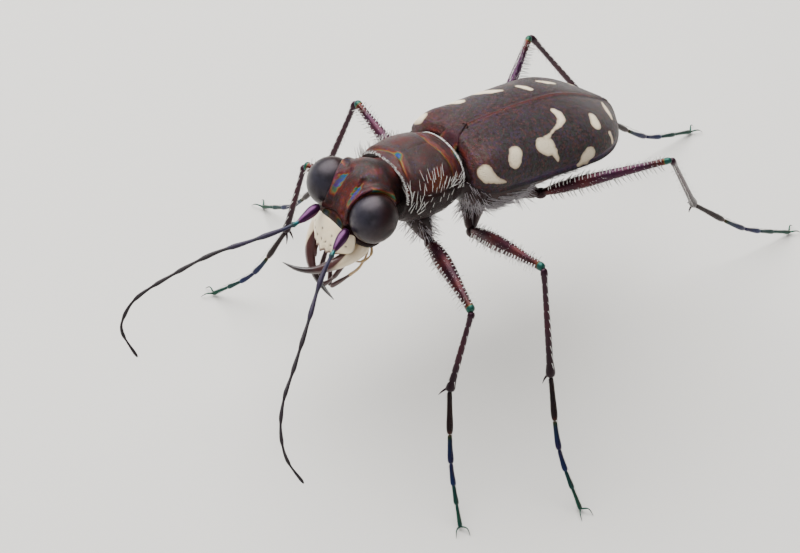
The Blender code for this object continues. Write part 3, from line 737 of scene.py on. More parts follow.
def grooveLines(x):
    front = pronotum["frontGroove"] + pronotum["frontDip"] * hump(x, 0.5)
    rear = pronotum["rearGroove"] + pronotum["rearDip"] * ramp(0, 1.0, np.abs(x))
    return front, rear


def makePronotum():
    rows, columns = pronotum["rows"], pronotum["columns"]
    turns = np.linspace(-pi, pi, columns + 1)[None, :].repeat(rows + 1, 0)
    front, rear = pronotum["front"], pronotum["back"]
    along = np.linspace(front, rear, rows + 1)[:, None].repeat(columns + 1, 1)
    points = pronotumAt(turns, along)
    ends = []
    for row, y, inward in ((0, front, 1), (-1, rear, -1)):  # each end is dished in and closed
        rings = []
        for share, depth in ((0.93, 0.0), (0.86, 0.10), (0.5, 0.22), (0.0, 0.24)):
            ring = points[row] * (share, 1, share)
            ring[:, 1] = y + inward * depth
            rings.append(ring)
        ends.append(rings)
    points = np.array(ends[0][::-1] + list(points) + ends[1])
    points[:, -1] = points[:, 0]
    piece = sheetOf("prothorax_shell", bodyPoints(points), closed=True)
    x, y, z = inBody(piece).T
    frontLine, rearLine = grooveLines(x)
    back = ramp(0.0, 0.6, z)
    film = highest(
        0.16 * hump(y - frontLine, 0.26) + 0.40 * hump(y - frontLine, 0.035) * ramp(1.1, 0.5, np.abs(x)),
        0.92 * ramp(0.17, 0.09, np.hypot(x - 0.02, (y - frontLine) * 1.2)),
        0.62 * ramp(0.30, 0.16, np.hypot(x - 0.05, (y - frontLine) * 1.6)),
        0.20 * hump(y - rearLine, 0.20) + 0.34 * hump(y - rearLine, 0.03),
        0.68 * hump(y - rearLine, 0.05) * hump(np.abs(x) - 0.42, 0.16),
        0.23 * ramp(0.85, 1.2, np.abs(x)) * ramp(0.2, 0.5, z),
        0.31 * hump(y + 0.22, 0.13) * ramp(0.5, 1.1, np.abs(x)),
        0.80 * hump(y - 0.02, 0.04) * hump(np.abs(x) - 0.75, 0.25),
        0.08 + 0.03 * np.sin(5.3 * x + y) * np.sin(4.1 * y - x),
    )
    paint(piece, "purple", 0.5 * hump(y + 0.10, 0.10) * ramp(0.2, 0.8, np.abs(x)))
    paint(piece, "shade", 0.62 * ramp(1.05, 0.78, z) + 0.34 * ramp(0.55, 0.1, z))
    paint(piece, "film", film * back + 0.10 * (1 - back))
    return finishPiece(piece, shellFinish, "prothorax", "prothorax")


makePronotum()

scutellum = {"rows": 24, "columns": 24, "halfWidth": 0.44, "length": 0.66, "height": 0.10, "thickness": 0.15}


def makeScutellum():
    along, across = shareGrid(scutellum["rows"], scutellum["columns"])
    width = scutellum["halfWidth"] * (1 - along**1.2) + 0.01
    y = elytra["front"] - 0.12 + along * (scutellum["length"] + 0.12)
    seam = np.array([0.0])
    seamTop = np.array([elytraSection(max(value, elytra["front"]), seam)[1][0] for value in y[:, 0]])
    z = seamTop[:, None] + 0.035 + scutellum["height"] * (1 - across**2) * 0.35 - 0.10 * np.abs(across) ** 4
    z = z - 0.25 * hump(along, 0.12)
    points = np.stack([width * across, y, z], -1)
    piece = sheetOf("scutellum_plate", bodyPoints(points))
    faceOutwards(piece, bodyPoint(0, 0.7, -1))
    x, y, z = inBody(piece).T
    paint(piece, "film", 0.10 + 0.45 * ramp(0.15, 0.4, np.abs(x)) * hump(y - 0.33, 0.10))
    paint(piece, "purple", 0.35 * hump(y - 0.45, 0.2))
    paint(piece, "shade", 0.45 + 0 * x)
    applyModifier(piece, "SOLIDIFY", thickness=scutellum["thickness"] * mm, offset=-1)
    return finishPiece(piece, shellFinish, "prothorax", "scutellum")


makeScutellum()
print("prothorax and scutellum made")


# The head
head = {
    "middle": (0, -0.14, -0.36),  # left, down the face and out of it, in mm
    "cranium": ((0, -0.14, -0.34), (1.16, 1.24, 0.90)),
    "face": ((0, 0.38, -0.24), (0.88, 0.78, 0.72)), "squareness": 3.2,
    "neck": ((0, -0.33, -0.40), (0, -0.64, -1.10)), "neckRadii": (0.66, 0.84),
    "cheek": ((0.80, 0.72, -0.42), (0.60, 0.60, 0.46)),
    "blend": 0.16,
    "eye": (1.13, 0.08, -0.03), "eyeRadii": (0.78, 0.84, 0.78), "eyeInside": 0.62,
    "grooves": ((0.34, -0.80), (0.39, -0.50), (0.41, -0.15), (0.38, 0.20), (0.33, 0.50)),
    "socket": (0.73, 0.80, 0.42),
}


def softMin(a, b, blend):
    share = np.clip(0.5 + 0.5 * (b - a) / blend, 0, 1)
    return b + (a - b) * share - blend * share * (1 - share)


def segmentDistance(p, start, end):
    start, end = np.asarray(start, float), np.asarray(end, float)
    along = end - start
    t = np.clip((p - start) @ along / (along @ along), 0, 1)
    return np.linalg.norm(p - start - t[:, None] * along, axis=1), t


def mirrored(p):
    return np.stack([np.abs(p[:, 0]), p[:, 1], p[:, 2]], 1)


def headField(p):
    middle, radii = head["cranium"]
    skull = (np.linalg.norm((p - middle) / np.array(radii), axis=1) - 1) * min(radii)
    middle, sizes = head["face"]
    n = head["squareness"]
    face = ((np.abs((p - middle) / np.array(sizes)) ** n).sum(1) ** (1 / n) - 1) * min(sizes)
    neck, t = segmentDistance(p, *head["neck"])
    thin, thick = head["neckRadii"]
    skull = softMin(softMin(skull, face, head["blend"]), neck - thin - (thick - thin) * t, 0.3)
    middle, radii = head["cheek"]
    cheek = (np.linalg.norm((mirrored(p) - middle) / np.array(radii), axis=1) - 1) * min(radii)
    return softMin(skull, cheek, head["blend"])


def eyeDistance(p):
    radii = np.array(head["eyeRadii"])
    return (np.linalg.norm((mirrored(p) - head["eye"]) / radii, axis=1) - 1) * min(radii)


def grooveDistance(p):
    # from the coloured groove beside each eye, on the front of the head, in mm
    flat = mirrored(p) * (1, 1, 0)
    nearest = np.full(len(p), 9.0)
    for start, end in zip(head["grooves"], head["grooves"][1:]):
        nearest = np.minimum(nearest, segmentDistance(flat, (*start, 0), (*end, 0))[0])
    return nearest + 2 * ramp(0.15, -0.15, p[:, 2])


def headLift(p):
    x, u, v = p.T
    eye, groove = eyeDistance(p), grooveDistance(p)
    front = ramp(-0.1, 0.2, v)
    inner = ramp(1.25, 0.75, np.abs(x)) * ramp(0.7, 0.1, u)
    # a ridge round each eye, then the grooves and wrinkles between them
    lift = (0.05 + 0.13 * inner) * hump(eye - 0.09, 0.11) - 0.04 * hump(eye - 0.01, 0.025)
    lift -= 0.075 * hump(groove, 0.085) * front
    lift += 0.006 * np.cos(x * 70 + 3 * u) * hump(np.abs(x) - 0.50, 0.30) * hump(u + 0.1, 0.5) * front
    lift -= 0.06 * hump(x, 0.34) * hump(u + 0.05, 0.55) * front
    lift -= 0.07 * hump(u - 0.80 + 0.16 * hump(x, 0.4), 0.05) * front * (np.abs(x) < 0.8)
    lift -= 0.035 * hump(np.abs(x) - 0.60, 0.05) * hump(u - 1.0, 0.25) * front
    socket = np.linalg.norm(mirrored(p) - head["socket"], axis=1)
    lift += 0.07 * hump(socket - 0.22, 0.06) - 0.12 * hump(socket, 0.15)
    lift -= 0.05 * hump(v + 0.42, 0.05) * ramp(0.2, 0.6, u)
    return lift


def makeHead():
    clearSelection()
    bpy.ops.mesh.primitive_ico_sphere_add(subdivisions=7, radius=1)
    piece = bpy.context.object
    piece.name = piece.data.name = "head_shell"
    rays = coordinates(piece)
    rays /= np.linalg.norm(rays, axis=1)[:, None]
    near, far = np.zeros(len(rays)), np.full(len(rays), 2.6)
    for _ in range(26):
        half = (near + far) / 2
        outside = headField(head["middle"] + rays * half[:, None]) > 0
        near, far = np.where(outside, near, half), np.where(outside, half, far)
    places = head["middle"] + rays * near[:, None]
    places = places + rays * headLift(places)[:, None]
    piece.data.vertices.foreach_set("co", headPoints(places).ravel())
    piece.data.update()
    editAll(piece, turnOutwards)
    x, u, v = places.T
    eye, groove = eyeDistance(places), grooveDistance(places)
    front = ramp(-0.1, 0.2, v)
    ragged = 0.03 * np.sin(x * 70 + 3 * u) + 0.02 * np.sin(x * 23 + 31 * u)
    streak = ramp(0.22, 0.02, groove + ragged + 0.7 * np.maximum(0, np.abs(u + 0.34) - 0.16))
    film = highest(
        0.90 * streak * front,
        0.66 * ramp(0.17, 0.05, groove) * hump(u + 0.02, 0.22) * front,
        0.24 * hump(groove, 0.34) * hump(u + 0.35, 0.55) * front,
        0.42 * hump(eye - 0.025, 0.025) * ramp(0.3, -0.2, u) * (v > -0.5),
        0.80 * hump(eye - 0.10, 0.10) * hump(u + 0.74, 0.15) * (v < 0.35),
        0.76 * ramp(0.78, 0.83, u + 0.16 * hump(x, 0.4)) * front * hump(np.abs(x) - 0.35, 0.22),
        0.17 * ramp(0.0, 0.4, u) * front,
        0.105 + 0.04 * np.sin(6.1 * x + 2 * u) * np.sin(4.3 * u - 2 * x),
    )
    paint(piece, "film", film)
    paint(piece, "purple", 0.65 * hump(eye - 0.13, 0.08) * hump(u + 0.30, 0.36) * front)
    low = highest(
        ramp(0.35, 0.80, u), ramp(-0.25, -0.6, v) * ramp(-0.5, 0.0, u),
        0.8 * ramp(0.25, 0.6, np.abs(x)) * ramp(0.25, 0.6, u),
    )
    paint(piece, "shade", 0.95 * low)
    return finishPiece(piece, headFinish, "head", "head")


headFinish = shellMaterial("headShell", {
    "metallic": 0.6, "dark": (0.014, 0.0065, 0.0063), "light": (0.036, 0.018, 0.0165), "pits": 13.0,
    "pitDepth": 0.7, "net": 36.0, "netDepth": 0.5, "rough": 0.30, "waver": 0.70, "coat": 0.15,
    "bump": 0.85, "bumpDepth": 0.018, "glintShare": 0.7,
})
makeHead()


def makeEyeFinish():
    material, tree, shader = startMaterial(
        "eye", Coat_Weight=0.05, Coat_Roughness=0.15, Specular_IOR_Level=0.32,
        Specular_Tint=(0.95, 0.80, 0.86, 1),
    )
    noise = cloudy(tree, 2.2, 3.0)
    color = rampNode(tree, noise, ((0.35, (0.002, 0.0004, 0.0004)), (0.62, (0.013, 0.0016, 0.0012))))
    # maroon below; grey-blue above, a painted highlight where the top of the eye catches the light
    highlightColor = rampNode(tree, noise, ((0.35, (0.005, 0.005, 0.008)), (0.62, (0.020, 0.019, 0.028))))
    color = mixColor(tree, readPaint(tree, "upper"), color, highlightColor)
    tree.links.new(color, shader.inputs["Base Color"])
    shader.inputs["Roughness"].default_value = 0.40
    facets = addNode(
        tree, "ShaderNodeTexVoronoi", {"feature": "F1"}, Vector=inMillimetres(tree), Scale=34.0,
        Randomness=0.25,
    )
    bumpInto(tree, shader, mathNode(tree, "SUBTRACT", 1.0, facets.outputs["Distance"]), 0.35, 0.008)
    return material


def makeEye(sideName, side):
    clearSelection()
    bpy.ops.mesh.primitive_ico_sphere_add(subdivisions=6, radius=1)
    piece = bpy.context.object
    piece.name = piece.data.name = f"eye_{sideName}_ball"
    places = coordinates(piece) * head["eyeRadii"] + np.array(head["eye"])
    places[:, 0] *= side
    piece.data.vertices.foreach_set("co", headPoints(places).ravel())
    inside = headPoint(side * head["eyeInside"], 0, 0)
    cut = {"plane_co": inside, "plane_no": (side, 0, 0), "clear_inner": True, "use_fill": True}
    editAll(piece, turnOutwards, (bpy.ops.mesh.bisect, cut))
    # painted highlight: how far up each eye the grey-blue top reaches
    paint(piece, "upper", ramp(0.25, 0.95, (inHead(piece)[:, 2] - head["eye"][2]) / head["eyeRadii"][2]))
    return finishPiece(piece, eyeFinish, "eyes", f"eye_{sideName}")


eyeFinish = makeEyeFinish()
for sideName, side in bothSides.items():
    makeEye(sideName, side)
print("head and eyes made")


# The upper lip, with its toothed edge
lip = {
    "rows": 60, "columns": 110, "root": 0.93, "thickness": 0.10,
    # half width at each share of its length
    "outline": ((0.0, 0.86), (0.3, 1.0), (0.6, 1.03), (0.82, 0.92), (1.0, 0.72)),
    "teeth": ((0.0, 0.13, 0.09), (0.25, 0.07, 0.06), (0.46, 0.05, 0.06)),
    "pits": ((0.10, 0.70), (0.34, 0.72), (0.60, 0.66), (0.80, 0.52), (0.24, 0.40)),
}


def makeLip():
    along, across = shareGrid(lip["rows"], lip["columns"])
    width = smooth(lip["outline"], along[:, 0])[:, 0][:, None]
    x = across * width
    end = 1.96 - 0.22 * np.abs(across) ** 2.4
    for tooth, length, thick in lip["teeth"]:
        end = end + length * hump(np.abs(x) - tooth, thick)
    u = lip["root"] + along * (end - lip["root"])
    v = 0.40 - 0.13 * along**1.4 - 0.36 * np.abs(across) ** 2.6 - 0.05 * ramp(0.82, 1, along)
    v = v - 0.03 * hump(along - 0.86, 0.03)
    pits = np.zeros_like(x)
    for place, down in lip["pits"]:
        pits = np.maximum(pits, hump(np.hypot(np.abs(x) - place, (along - down) * 0.95), 0.035))
    v = v - 0.035 * pits
    edge = np.maximum(ramp(0.86, 0.97, along), 0.7 * ramp(0.955, 1.0, np.abs(across)))
    piece = sheetOf("labrum_plate", headPoints(np.stack([x, u, v], -1)), {"edge": edge, "pit": pits})
    faceOutwards(piece, headPoint(0, 1.5, -0.6))
    applyModifier(piece, "SOLIDIFY", thickness=lip["thickness"] * mm, offset=-1)
    return finishPiece(piece, makeLipFinish(), "upper_lip", "labrum")


def makeLipFinish():
    material, tree, shader = startMaterial("upperLip", Coat_Weight=0.5, Coat_Roughness=0.2)
    noise = cloudy(tree, 2.6, 5.0)
    cream = mixColor(tree, noise, (0.88, 0.67, 0.41, 1), (1.0, 0.90, 0.66, 1))
    brown = mixColor(tree, noise, (0.06, 0.02, 0.01, 1), (0.16, 0.06, 0.025, 1))
    color = mixColor(tree, readPaint(tree, "edge"), cream, brown)
    color = mixColor(tree, readPaint(tree, "pit"), color, (0.03, 0.012, 0.01, 1))
    tree.links.new(color, shader.inputs["Base Color"])
    mottledRoughness(tree, shader, noise, 0.2, 0.28)
    bumpInto(tree, shader, noise, 0.3, 0.012)
    return material


makeLip()


# The jaws: sickles that cross, the left over the right
jaw = {
    "routes": {
        1: ((0.84, 0.90, -0.42), (0.98, 1.28, -0.36), (0.80, 1.82, -0.20), (0.46, 2.38, 0.02),
            (0.06, 2.80, 0.16), (-0.50, 3.10, 0.23), (-1.16, 3.27, 0.23)),
        -1: ((-0.84, 0.90, -0.42), (-1.00, 1.40, -0.38), (-0.86, 2.05, -0.26), (-0.55, 2.62, -0.20),
             (-0.05, 3.00, -0.22), (0.52, 3.18, -0.25), (1.12, 3.25, -0.25)),
    },
    "radii": (0.28, 0.31, 0.27, 0.20, 0.13, 0.085, 0.018),
    # share of the jaw, length of the tooth, its thickness
    "teeth": ((0.40, 0.46, 0.15), (0.53, 0.42, 0.11), (0.65, 0.32, 0.085), (0.32, 0.40, 0.16)),
    "squash": 0.72, "fineness": 0.02,
}


def jawFrame(side):
    points = jaw["routes"][side]
    stations = [(i, radius) for i, radius in enumerate(jaw["radii"])]
    route = smoothRoute(points, 6)
    radii = smooth(stations, np.linspace(0, len(points) - 1, len(route)))[:, 0]
    return route, radii


def makeJaw(sideName, side):
    route, radii = jawFrame(side)
    up = headTurn @ Vector((0, 0, 1))
    lengths = [{
        "route": headPoints(route), "radii": radii * mm, "up": headTurn @ Vector((side, 0, 0)),
        "squash": jaw["squash"],
    }]
    for share, length, thick in jaw["teeth"]:
        root = route[round(share * (len(route) - 1))]
        line = np.array((-side * 0.94, 0.34, 0.0))
        line /= np.linalg.norm(line)
        steps = np.linspace(0, 1, 6)
        curve = root + line * length * steps[:, None] + np.array((0, 0.10, 0)) * steps[:, None] ** 2
        lengths.append({
            "route": headPoints(curve), "radii": thick * (1 - steps**1.3 * 0.9) * mm, "up": up, "squash": 1.3,
        })
    piece = limb(f"mandible_{sideName}_sickle", lengths, sides=14, levels=1)
    applyModifier(piece, "REMESH", mode="VOXEL", voxel_size=jaw["fineness"] * mm)
    applyModifier(piece, "SMOOTH", factor=0.5, iterations=4)
    places = inHead(piece)
    nearest, share = np.full(len(places), 9.0), np.zeros(len(places))
    for i, (start, end) in enumerate(zip(route, route[1:])):
        away, t = segmentDistance(places, start, end)
        share = np.where(away < nearest, (i + t) / (len(route) - 1), share)
        nearest = np.minimum(nearest, away)
    outer = (places[:, 0] * side - np.interp(share, np.linspace(0, 1, len(route)), route[:, 0] * side))
    front = places[:, 2] - np.interp(share, np.linspace(0, 1, len(route)), route[:, 2])
    edge = -0.02 + 0.16 * ramp(0.22, 0.46, share)
    paint(piece, "pale", ramp(0.54, 0.40, share) * ramp(edge, edge + 0.05, outer * 0.8 + front * 0.4))
    paint(piece, "tip", ramp(0.45, 0.8, share))
    return finishPiece(piece, jawFinish, "jaws", f"mandible_{sideName}")


def makeJawFinish():
    material, tree, shader = startMaterial("jaw", Metallic=0.1, Coat_Weight=0.8, Coat_Roughness=0.14)
    noise = cloudy(tree, 3.0, 5.0)
    dark = mixColor(tree, noise, (0.030, 0.008, 0.008, 1), (0.085, 0.022, 0.018, 1))
    dark = mixColor(tree, readPaint(tree, "tip"), dark, (0.010, 0.004, 0.004, 1))
    pale = mixColor(tree, noise, (0.64, 0.48, 0.30, 1), (0.86, 0.74, 0.54, 1))
    tree.links.new(mixColor(tree, readPaint(tree, "pale"), dark, pale), shader.inputs["Base Color"])
    mottledRoughness(tree, shader, noise, 0.15, 0.22)
    bumpInto(tree, shader, noise, 0.25, 0.01)
    return material


jawFinish = makeJawFinish()
for sideName, side in bothSides.items():
    makeJaw(sideName, side)


# The palps: jointed, each joint widening to its end
palps = {
    "maxillary": ((0.80, 1.05, -0.88), (1.08, 1.45, -0.90), (0.92, 1.85, -0.80), (0.54, 2.05, -0.70),
                  (0.31, 2.90, -0.70), (0.07, 3.32, -0.70)),
    "labial": ((0.38, 1.00, -1.05), (0.70, 1.45, -1.15), (0.74, 2.10, -1.15), (0.47, 2.66, -1.20),
               (0.02, 3.40, -1.20)),
    # where along its length each joint ends, and where the dark ones begin
    "joints": {"maxillary": (0.22, 0.40, 0.60, 0.80, 1.0), "labial": (0.25, 0.75, 1.0)},
    "dark": {"maxillary": 0.58, "labial": 0.74}, "thin": 0.05, "thick": 0.085,
}


def jointedRadii(count, ends):
    # radii along a jointed limb: thin where a joint starts, and wide just before its end
    shares = np.linspace(0, 1, count)
    radii, start = np.zeros(count), 0.0
    for end in ends:
        t = (shares - start) / (end - start)
        here = (t >= 0) & (t <= 1)
        radii[here] = (0.62 + 0.42 * ramp(0, 0.7, t) - 0.30 * ramp(0.93, 1.0, t))[here]
        start = end
    return radii


def makePalp(kind, sideName, side):
    route = smoothRoute([(side * x, u, v) for x, u, v in palps[kind]], 10)
    shares = np.linspace(0, 1, len(route))
    dark = palps["dark"][kind]
    thick = palps["thin"] + (palps["thick"] - palps["thin"]) * ramp(dark - 0.06, dark + 0.03, shares)
    radii = jointedRadii(len(route), palps["joints"][kind]) * thick
    radii[-1] *= 0.6
    piece = limb(f"{kind}_palp_{sideName}_joints", [{"route": headPoints(route), "radii": radii * mm}])
    paint(piece, "dark", ramp(dark - 0.02, dark + 0.01, shares[nearestRing(piece, headPoints(route))]))
    return finishPiece(piece, palpFinish, "palps", f"{kind}_palp_{sideName}")


def makePalpFinish():
    material, tree, shader = startMaterial("palp", Coat_Weight=0.5, Coat_Roughness=0.15)
    noise = cloudy(tree, 2.0, 5.0)
    pale = mixColor(tree, noise, (0.36, 0.20, 0.08, 1), (0.60, 0.42, 0.20, 1))
    dark = mixColor(tree, noise, (0.020, 0.006, 0.006, 1), (0.075, 0.016, 0.018, 1))
    tree.links.new(mixColor(tree, readPaint(tree, "dark"), pale, dark), shader.inputs["Base Color"])
    mottledRoughness(tree, shader, noise, 0.2, 0.22)
    return material


palpFinish = makePalpFinish()
for sideName, side in bothSides.items():
    makePalp("maxillary", sideName, side)
    makePalp("labial", sideName, side)
print("mouthparts made")


# The feelers: eleven joints each, and the places that they pass through after their sockets, in mm
feelers = {
    "left": ((1.14, -5.32, 8.48), (1.49, -6.07, 7.98), (2.16, -7.08, 7.27),
             (2.83, -8.16, 6.43), (3.29, -8.93, 5.83), (3.82, -9.46, 5.19), (4.44, -9.69, 4.54),
             (5.16, -9.55, 3.92)),
    "right": ((-0.68, -5.43, 8.55), (-1.19, -6.81, 8.22), (-1.67, -7.94, 7.96),
              (-2.09, -9.10, 7.49), (-2.52, -10.36, 6.82), (-2.56, -10.94, 6.22), (-2.38, -11.16, 5.73),
              (-1.80, -10.99, 4.95)),
    "joints": (0.95, 0.22, 1.2, 1.0, 0.98, 0.88, 0.82, 0.78, 0.72, 0.68, 0.75),
    # radius of each joint
    "radii": (0.190, 0.100, 0.098, 0.092, 0.086, 0.080, 0.076, 0.072, 0.068, 0.064, 0.058),
    "rings": 7,
}


def feelerFrames(sideName):
    # the places, radii and joint numbers of the rings along a feeler
    side = bothSides[sideName]
    root = np.array(headPoint(side * head["socket"][0], *head["socket"][1:]) - partShift) / mm
    route = smoothRoute([tuple(root), *feelers[sideName]], 20) * mm + np.array(partShift)
    walked = np.r_[0, np.cumsum(np.linalg.norm(np.diff(route, axis=0), axis=1))]
    ends = np.r_[0, np.cumsum(feelers["joints"])] / sum(feelers["joints"]) * walked[-1]
    places, radii, joints = [], [], []
    for joint, radius in enumerate(feelers["radii"]):
        for t in np.linspace(0.0, 1.0, feelers["rings"])[: None if joint == 10 else -1]:
            at = ends[joint] + (ends[joint + 1] - ends[joint]) * t
            places.append([np.interp(at, walked, route[:, axis]) for axis in range(3)])
            if joint == 0:
                shape = 0.55 + 0.45 * sin(pi * min(t * 1.25, 1) ** 0.8) + 0.12 * t
            else:
                shape = 0.62 + 0.42 * ramp(0, 0.85, t) - (0.2 if t > 0.99 else 0)
            radii.append(radius * shape)
            joints.append(joint + t)
    return np.array(places), np.array(radii), np.array(joints)


def makeFeeler(sideName):
    places, radii, joints = feelerFrames(sideName)
    radii[-1] *= 0.45
    piece = limb(f"antenna_{sideName}_joints", [{"route": places, "radii": radii * mm}], sides=12, levels=1)
    joint = joints[nearestRing(piece, places)]
    shine = np.where(joint < 1, 0.0, np.where(joint < 2, 0.76, 0.93 - 0.15 * hump(joint % 1, 0.15)))
    paint(piece, "film", shine * (1 - ramp(4.0, 4.6, joint)))
    paint(piece, "purple", ramp(1.05, 0.95, joint) + 0.6 * ramp(1.9, 2.4, joint) * ramp(4.3, 3.8, joint))
    paint(piece, "dull", 0.84 * ramp(1.1, 2.1, joint) + 0.16 * ramp(3.7, 4.2, joint))
    names = [f"antenna_{sideName}_{part}" for part in ("scape", "base", "middle", "tip")]
    return finishPiece(piece, feelerFinish, "feelers", *names)


def makeFeelerFinish():
    material, tree, shader = startMaterial(
        "feeler", Coat_Weight=0.15, Coat_Roughness=0.2, Specular_IOR_Level=0.3,
    )
    grain, color = metalGround(tree, {
        "dark": (0.055, 0.016, 0.022), "light": (0.12, 0.035, 0.045), "pits": 22.0, "pitDepth": 0.3,
        "net": 55.0, "netDepth": 0.3, "waver": 0.2,
    })
    color = mixColor(tree, readPaint(tree, "purple"), color, (0.055, 0.011, 0.055, 1))
    dull = mixColor(tree, grain.outputs["Mottle"], (0.006, 0.003, 0.006, 1), (0.026, 0.017, 0.020, 1))
    tree.links.new(mixColor(tree, readPaint(tree, "dull"), color, dull), shader.inputs["Base Color"])
    metal = mathNode(tree, "MULTIPLY_ADD", readPaint(tree, "dull"), -0.65, 0.7)
    tree.links.new(metal, shader.inputs["Metallic"])
    mottledRoughness(tree, shader, readPaint(tree, "dull"), 0.3, 0.28)
    bumpInto(tree, shader, grain.outputs["Height"], 0.3, 0.008)
    return material


feelerFinish = makeFeelerFinish()
for sideName in bothSides:
    makeFeeler(sideName)
print("feelers made")


# The legs
legs = {
    "lengths": {"fore": (3.29, 3.05, 4.58), "mid": (4.14, 4.13, 4.68), "hind": (4.83, 5.68, 6.21)},
    "roots": {"fore": (0.62, -1.30, -0.90), "mid": (0.72, 1.30, -1.05), "hind": (0.72, 2.60, -1.05)},
    "hips": {"fore": (1.21, -0.93, -1.94), "mid": (1.33, 0.85, -2.09), "hind": (1.32, 3.84, -1.60)},
    # headings and rises in degrees of the femur, the tibia and the tarsus, then of its last half
    "poses": {
        ("fore", "left"): ((-14, -7), (-76, -70), (-35, -53), -25),
        ("mid", "left"): ((-4, 19), (-16, -74), (-25, -54), -4),
        ("hind", "left"): ((45, 25), (115, -55), (80, -42), 88),
        ("fore", "right"): ((-15, -3), (-62, -78), (-45, -62), -33),
        ("mid", "right"): ((6, 13), (-48, -73), (-4, -54), 0),
        ("hind", "right"): ((59, 22), (107, -56), (91, -42), 87),
    },
    "tarsomeres": (0.317, 0.212, 0.162, 0.139, 0.17),
    "toeHeight": 0.075,
    "femur": ((0.0, 0.11), (0.05, 0.15), (0.16, 0.225), (0.34, 0.26), (0.55, 0.215), (0.80, 0.15),
              (0.94, 0.135), (0.985, 0.15), (1.0, 0.09)),
    "tibia": ((0.0, 0.08), (0.02, 0.14), (0.06, 0.135), (0.12, 0.105), (0.5, 0.118), (0.86, 0.135),
              (0.94, 0.175), (0.97, 0.185), (1.0, 0.13)),
    "coxa": {
        "fore": ((0.0, 0.40), (0.25, 0.46), (0.5, 0.38), (0.75, 0.27), (0.92, 0.20), (1.0, 0.12)),
        "mid": ((0.0, 0.40), (0.25, 0.46), (0.5, 0.38), (0.75, 0.27), (0.92, 0.20), (1.0, 0.12)),
        "hind": ((0.0, 0.40), (0.2, 0.48), (0.5, 0.40), (0.8, 0.26), (0.94, 0.20), (1.0, 0.12)),
    },
    "slim": {"fore": 1.1, "mid": 1.02, "hind": 0.88},
    "knob": ((0, 0.07), (0.2, 0.17), (0.5, 0.205), (0.8, 0.17), (1, 0.06)),
    "spur": 0.5, "spurRadii": ((0, 0.050), (0.5, 0.036), (1, 0.006)),
    # how far the claws reach ahead and aside, their height at the tip, the radius there, and how
    # much thicker the root is
    "clawAhead": 0.38, "clawAside": 0.24, "clawTip": 0.012, "clawThin": 0.004, "clawThick": 0.034,
    "footRadii": (0.118, 0.108, 0.100, 0.092, 0.080),
    "footPaint": {
        "film": ((0.28, 0.36, 0.52, 0.68, 0.70, 0.95), (0.10, 0.84, 0.97, 0.90, 0.74, 0.68)),
        "shade": ((0.0, 0.35, 0.6, 0.8, 1.0, 1.05), (0.90, 0.93, 0.91, 0.76, 0.60, 0.9)),
    },
    "footShape": (0.66, 0.70, 0.72, 0.76, 0.84, 0.94, 1.0, 0.74),  # along each joint of the foot
}


def outward(side, heading, rise):
    heading, rise = radians(heading), radians(rise)
    return Vector((side * cos(heading) * cos(rise), sin(heading) * cos(rise), sin(rise)))


def legPlaces(pair, sideName):
    # the hip, knee, ankle, the bend of the foot and the toe, in metres, and the lines between them
    side = bothSides[sideName]
    femur, tibia, tarsus = (length * mm for length in legs["lengths"][pair])
    mirror = Vector((side, 1, 1))
    femurPose, tibiaPose, tarsusPose, lastHeading = legs["poses"][pair, sideName]
    root = bodyPoint(*(Vector(legs["roots"][pair]) * mirror))
    hip = bodyPoint(*(Vector(legs["hips"][pair]) * mirror))
    femurLine, tibiaLine, tarsusLine = (outward(side, *pose) for pose in (femurPose, tibiaPose, tarsusPose))
    knee = hip + femurLine * femur
    ankle = knee + tibiaLine * tibia
    half = tarsus * sum(legs["tarsomeres"][:2])
    middle = ankle + tarsusLine * half
    fall = asin((legs["toeHeight"] * mm - middle.z) / (tarsus - half))
    lastLine = outward(side, lastHeading, degrees(fall))
    toe = middle + lastLine * (tarsus - half)
    return {
        "side": side, "root": root, "hip": hip, "knee": knee, "ankle": ankle, "middle": middle, "toe": toe,
        "femur": femurLine, "tibia": tibiaLine, "tarsus": tarsusLine, "last": lastLine,
        "hinge": tibiaLine.cross(femurLine).normalized(),
    }


def tubeThrough(start, end, stations, thick=1.0, bow=None, count=26):
    # a straight or slightly bowed length between two places, with radii by share
    shares = np.linspace(0, 1, count)
    route = np.array(start) + (np.array(end) - np.array(start)) * shares[:, None]
    if bow is not None:
        route = route + np.array(bow) * np.sin(pi * shares)[:, None]
    return route, smooth(stations, shares)[:, 0] * thick * mm


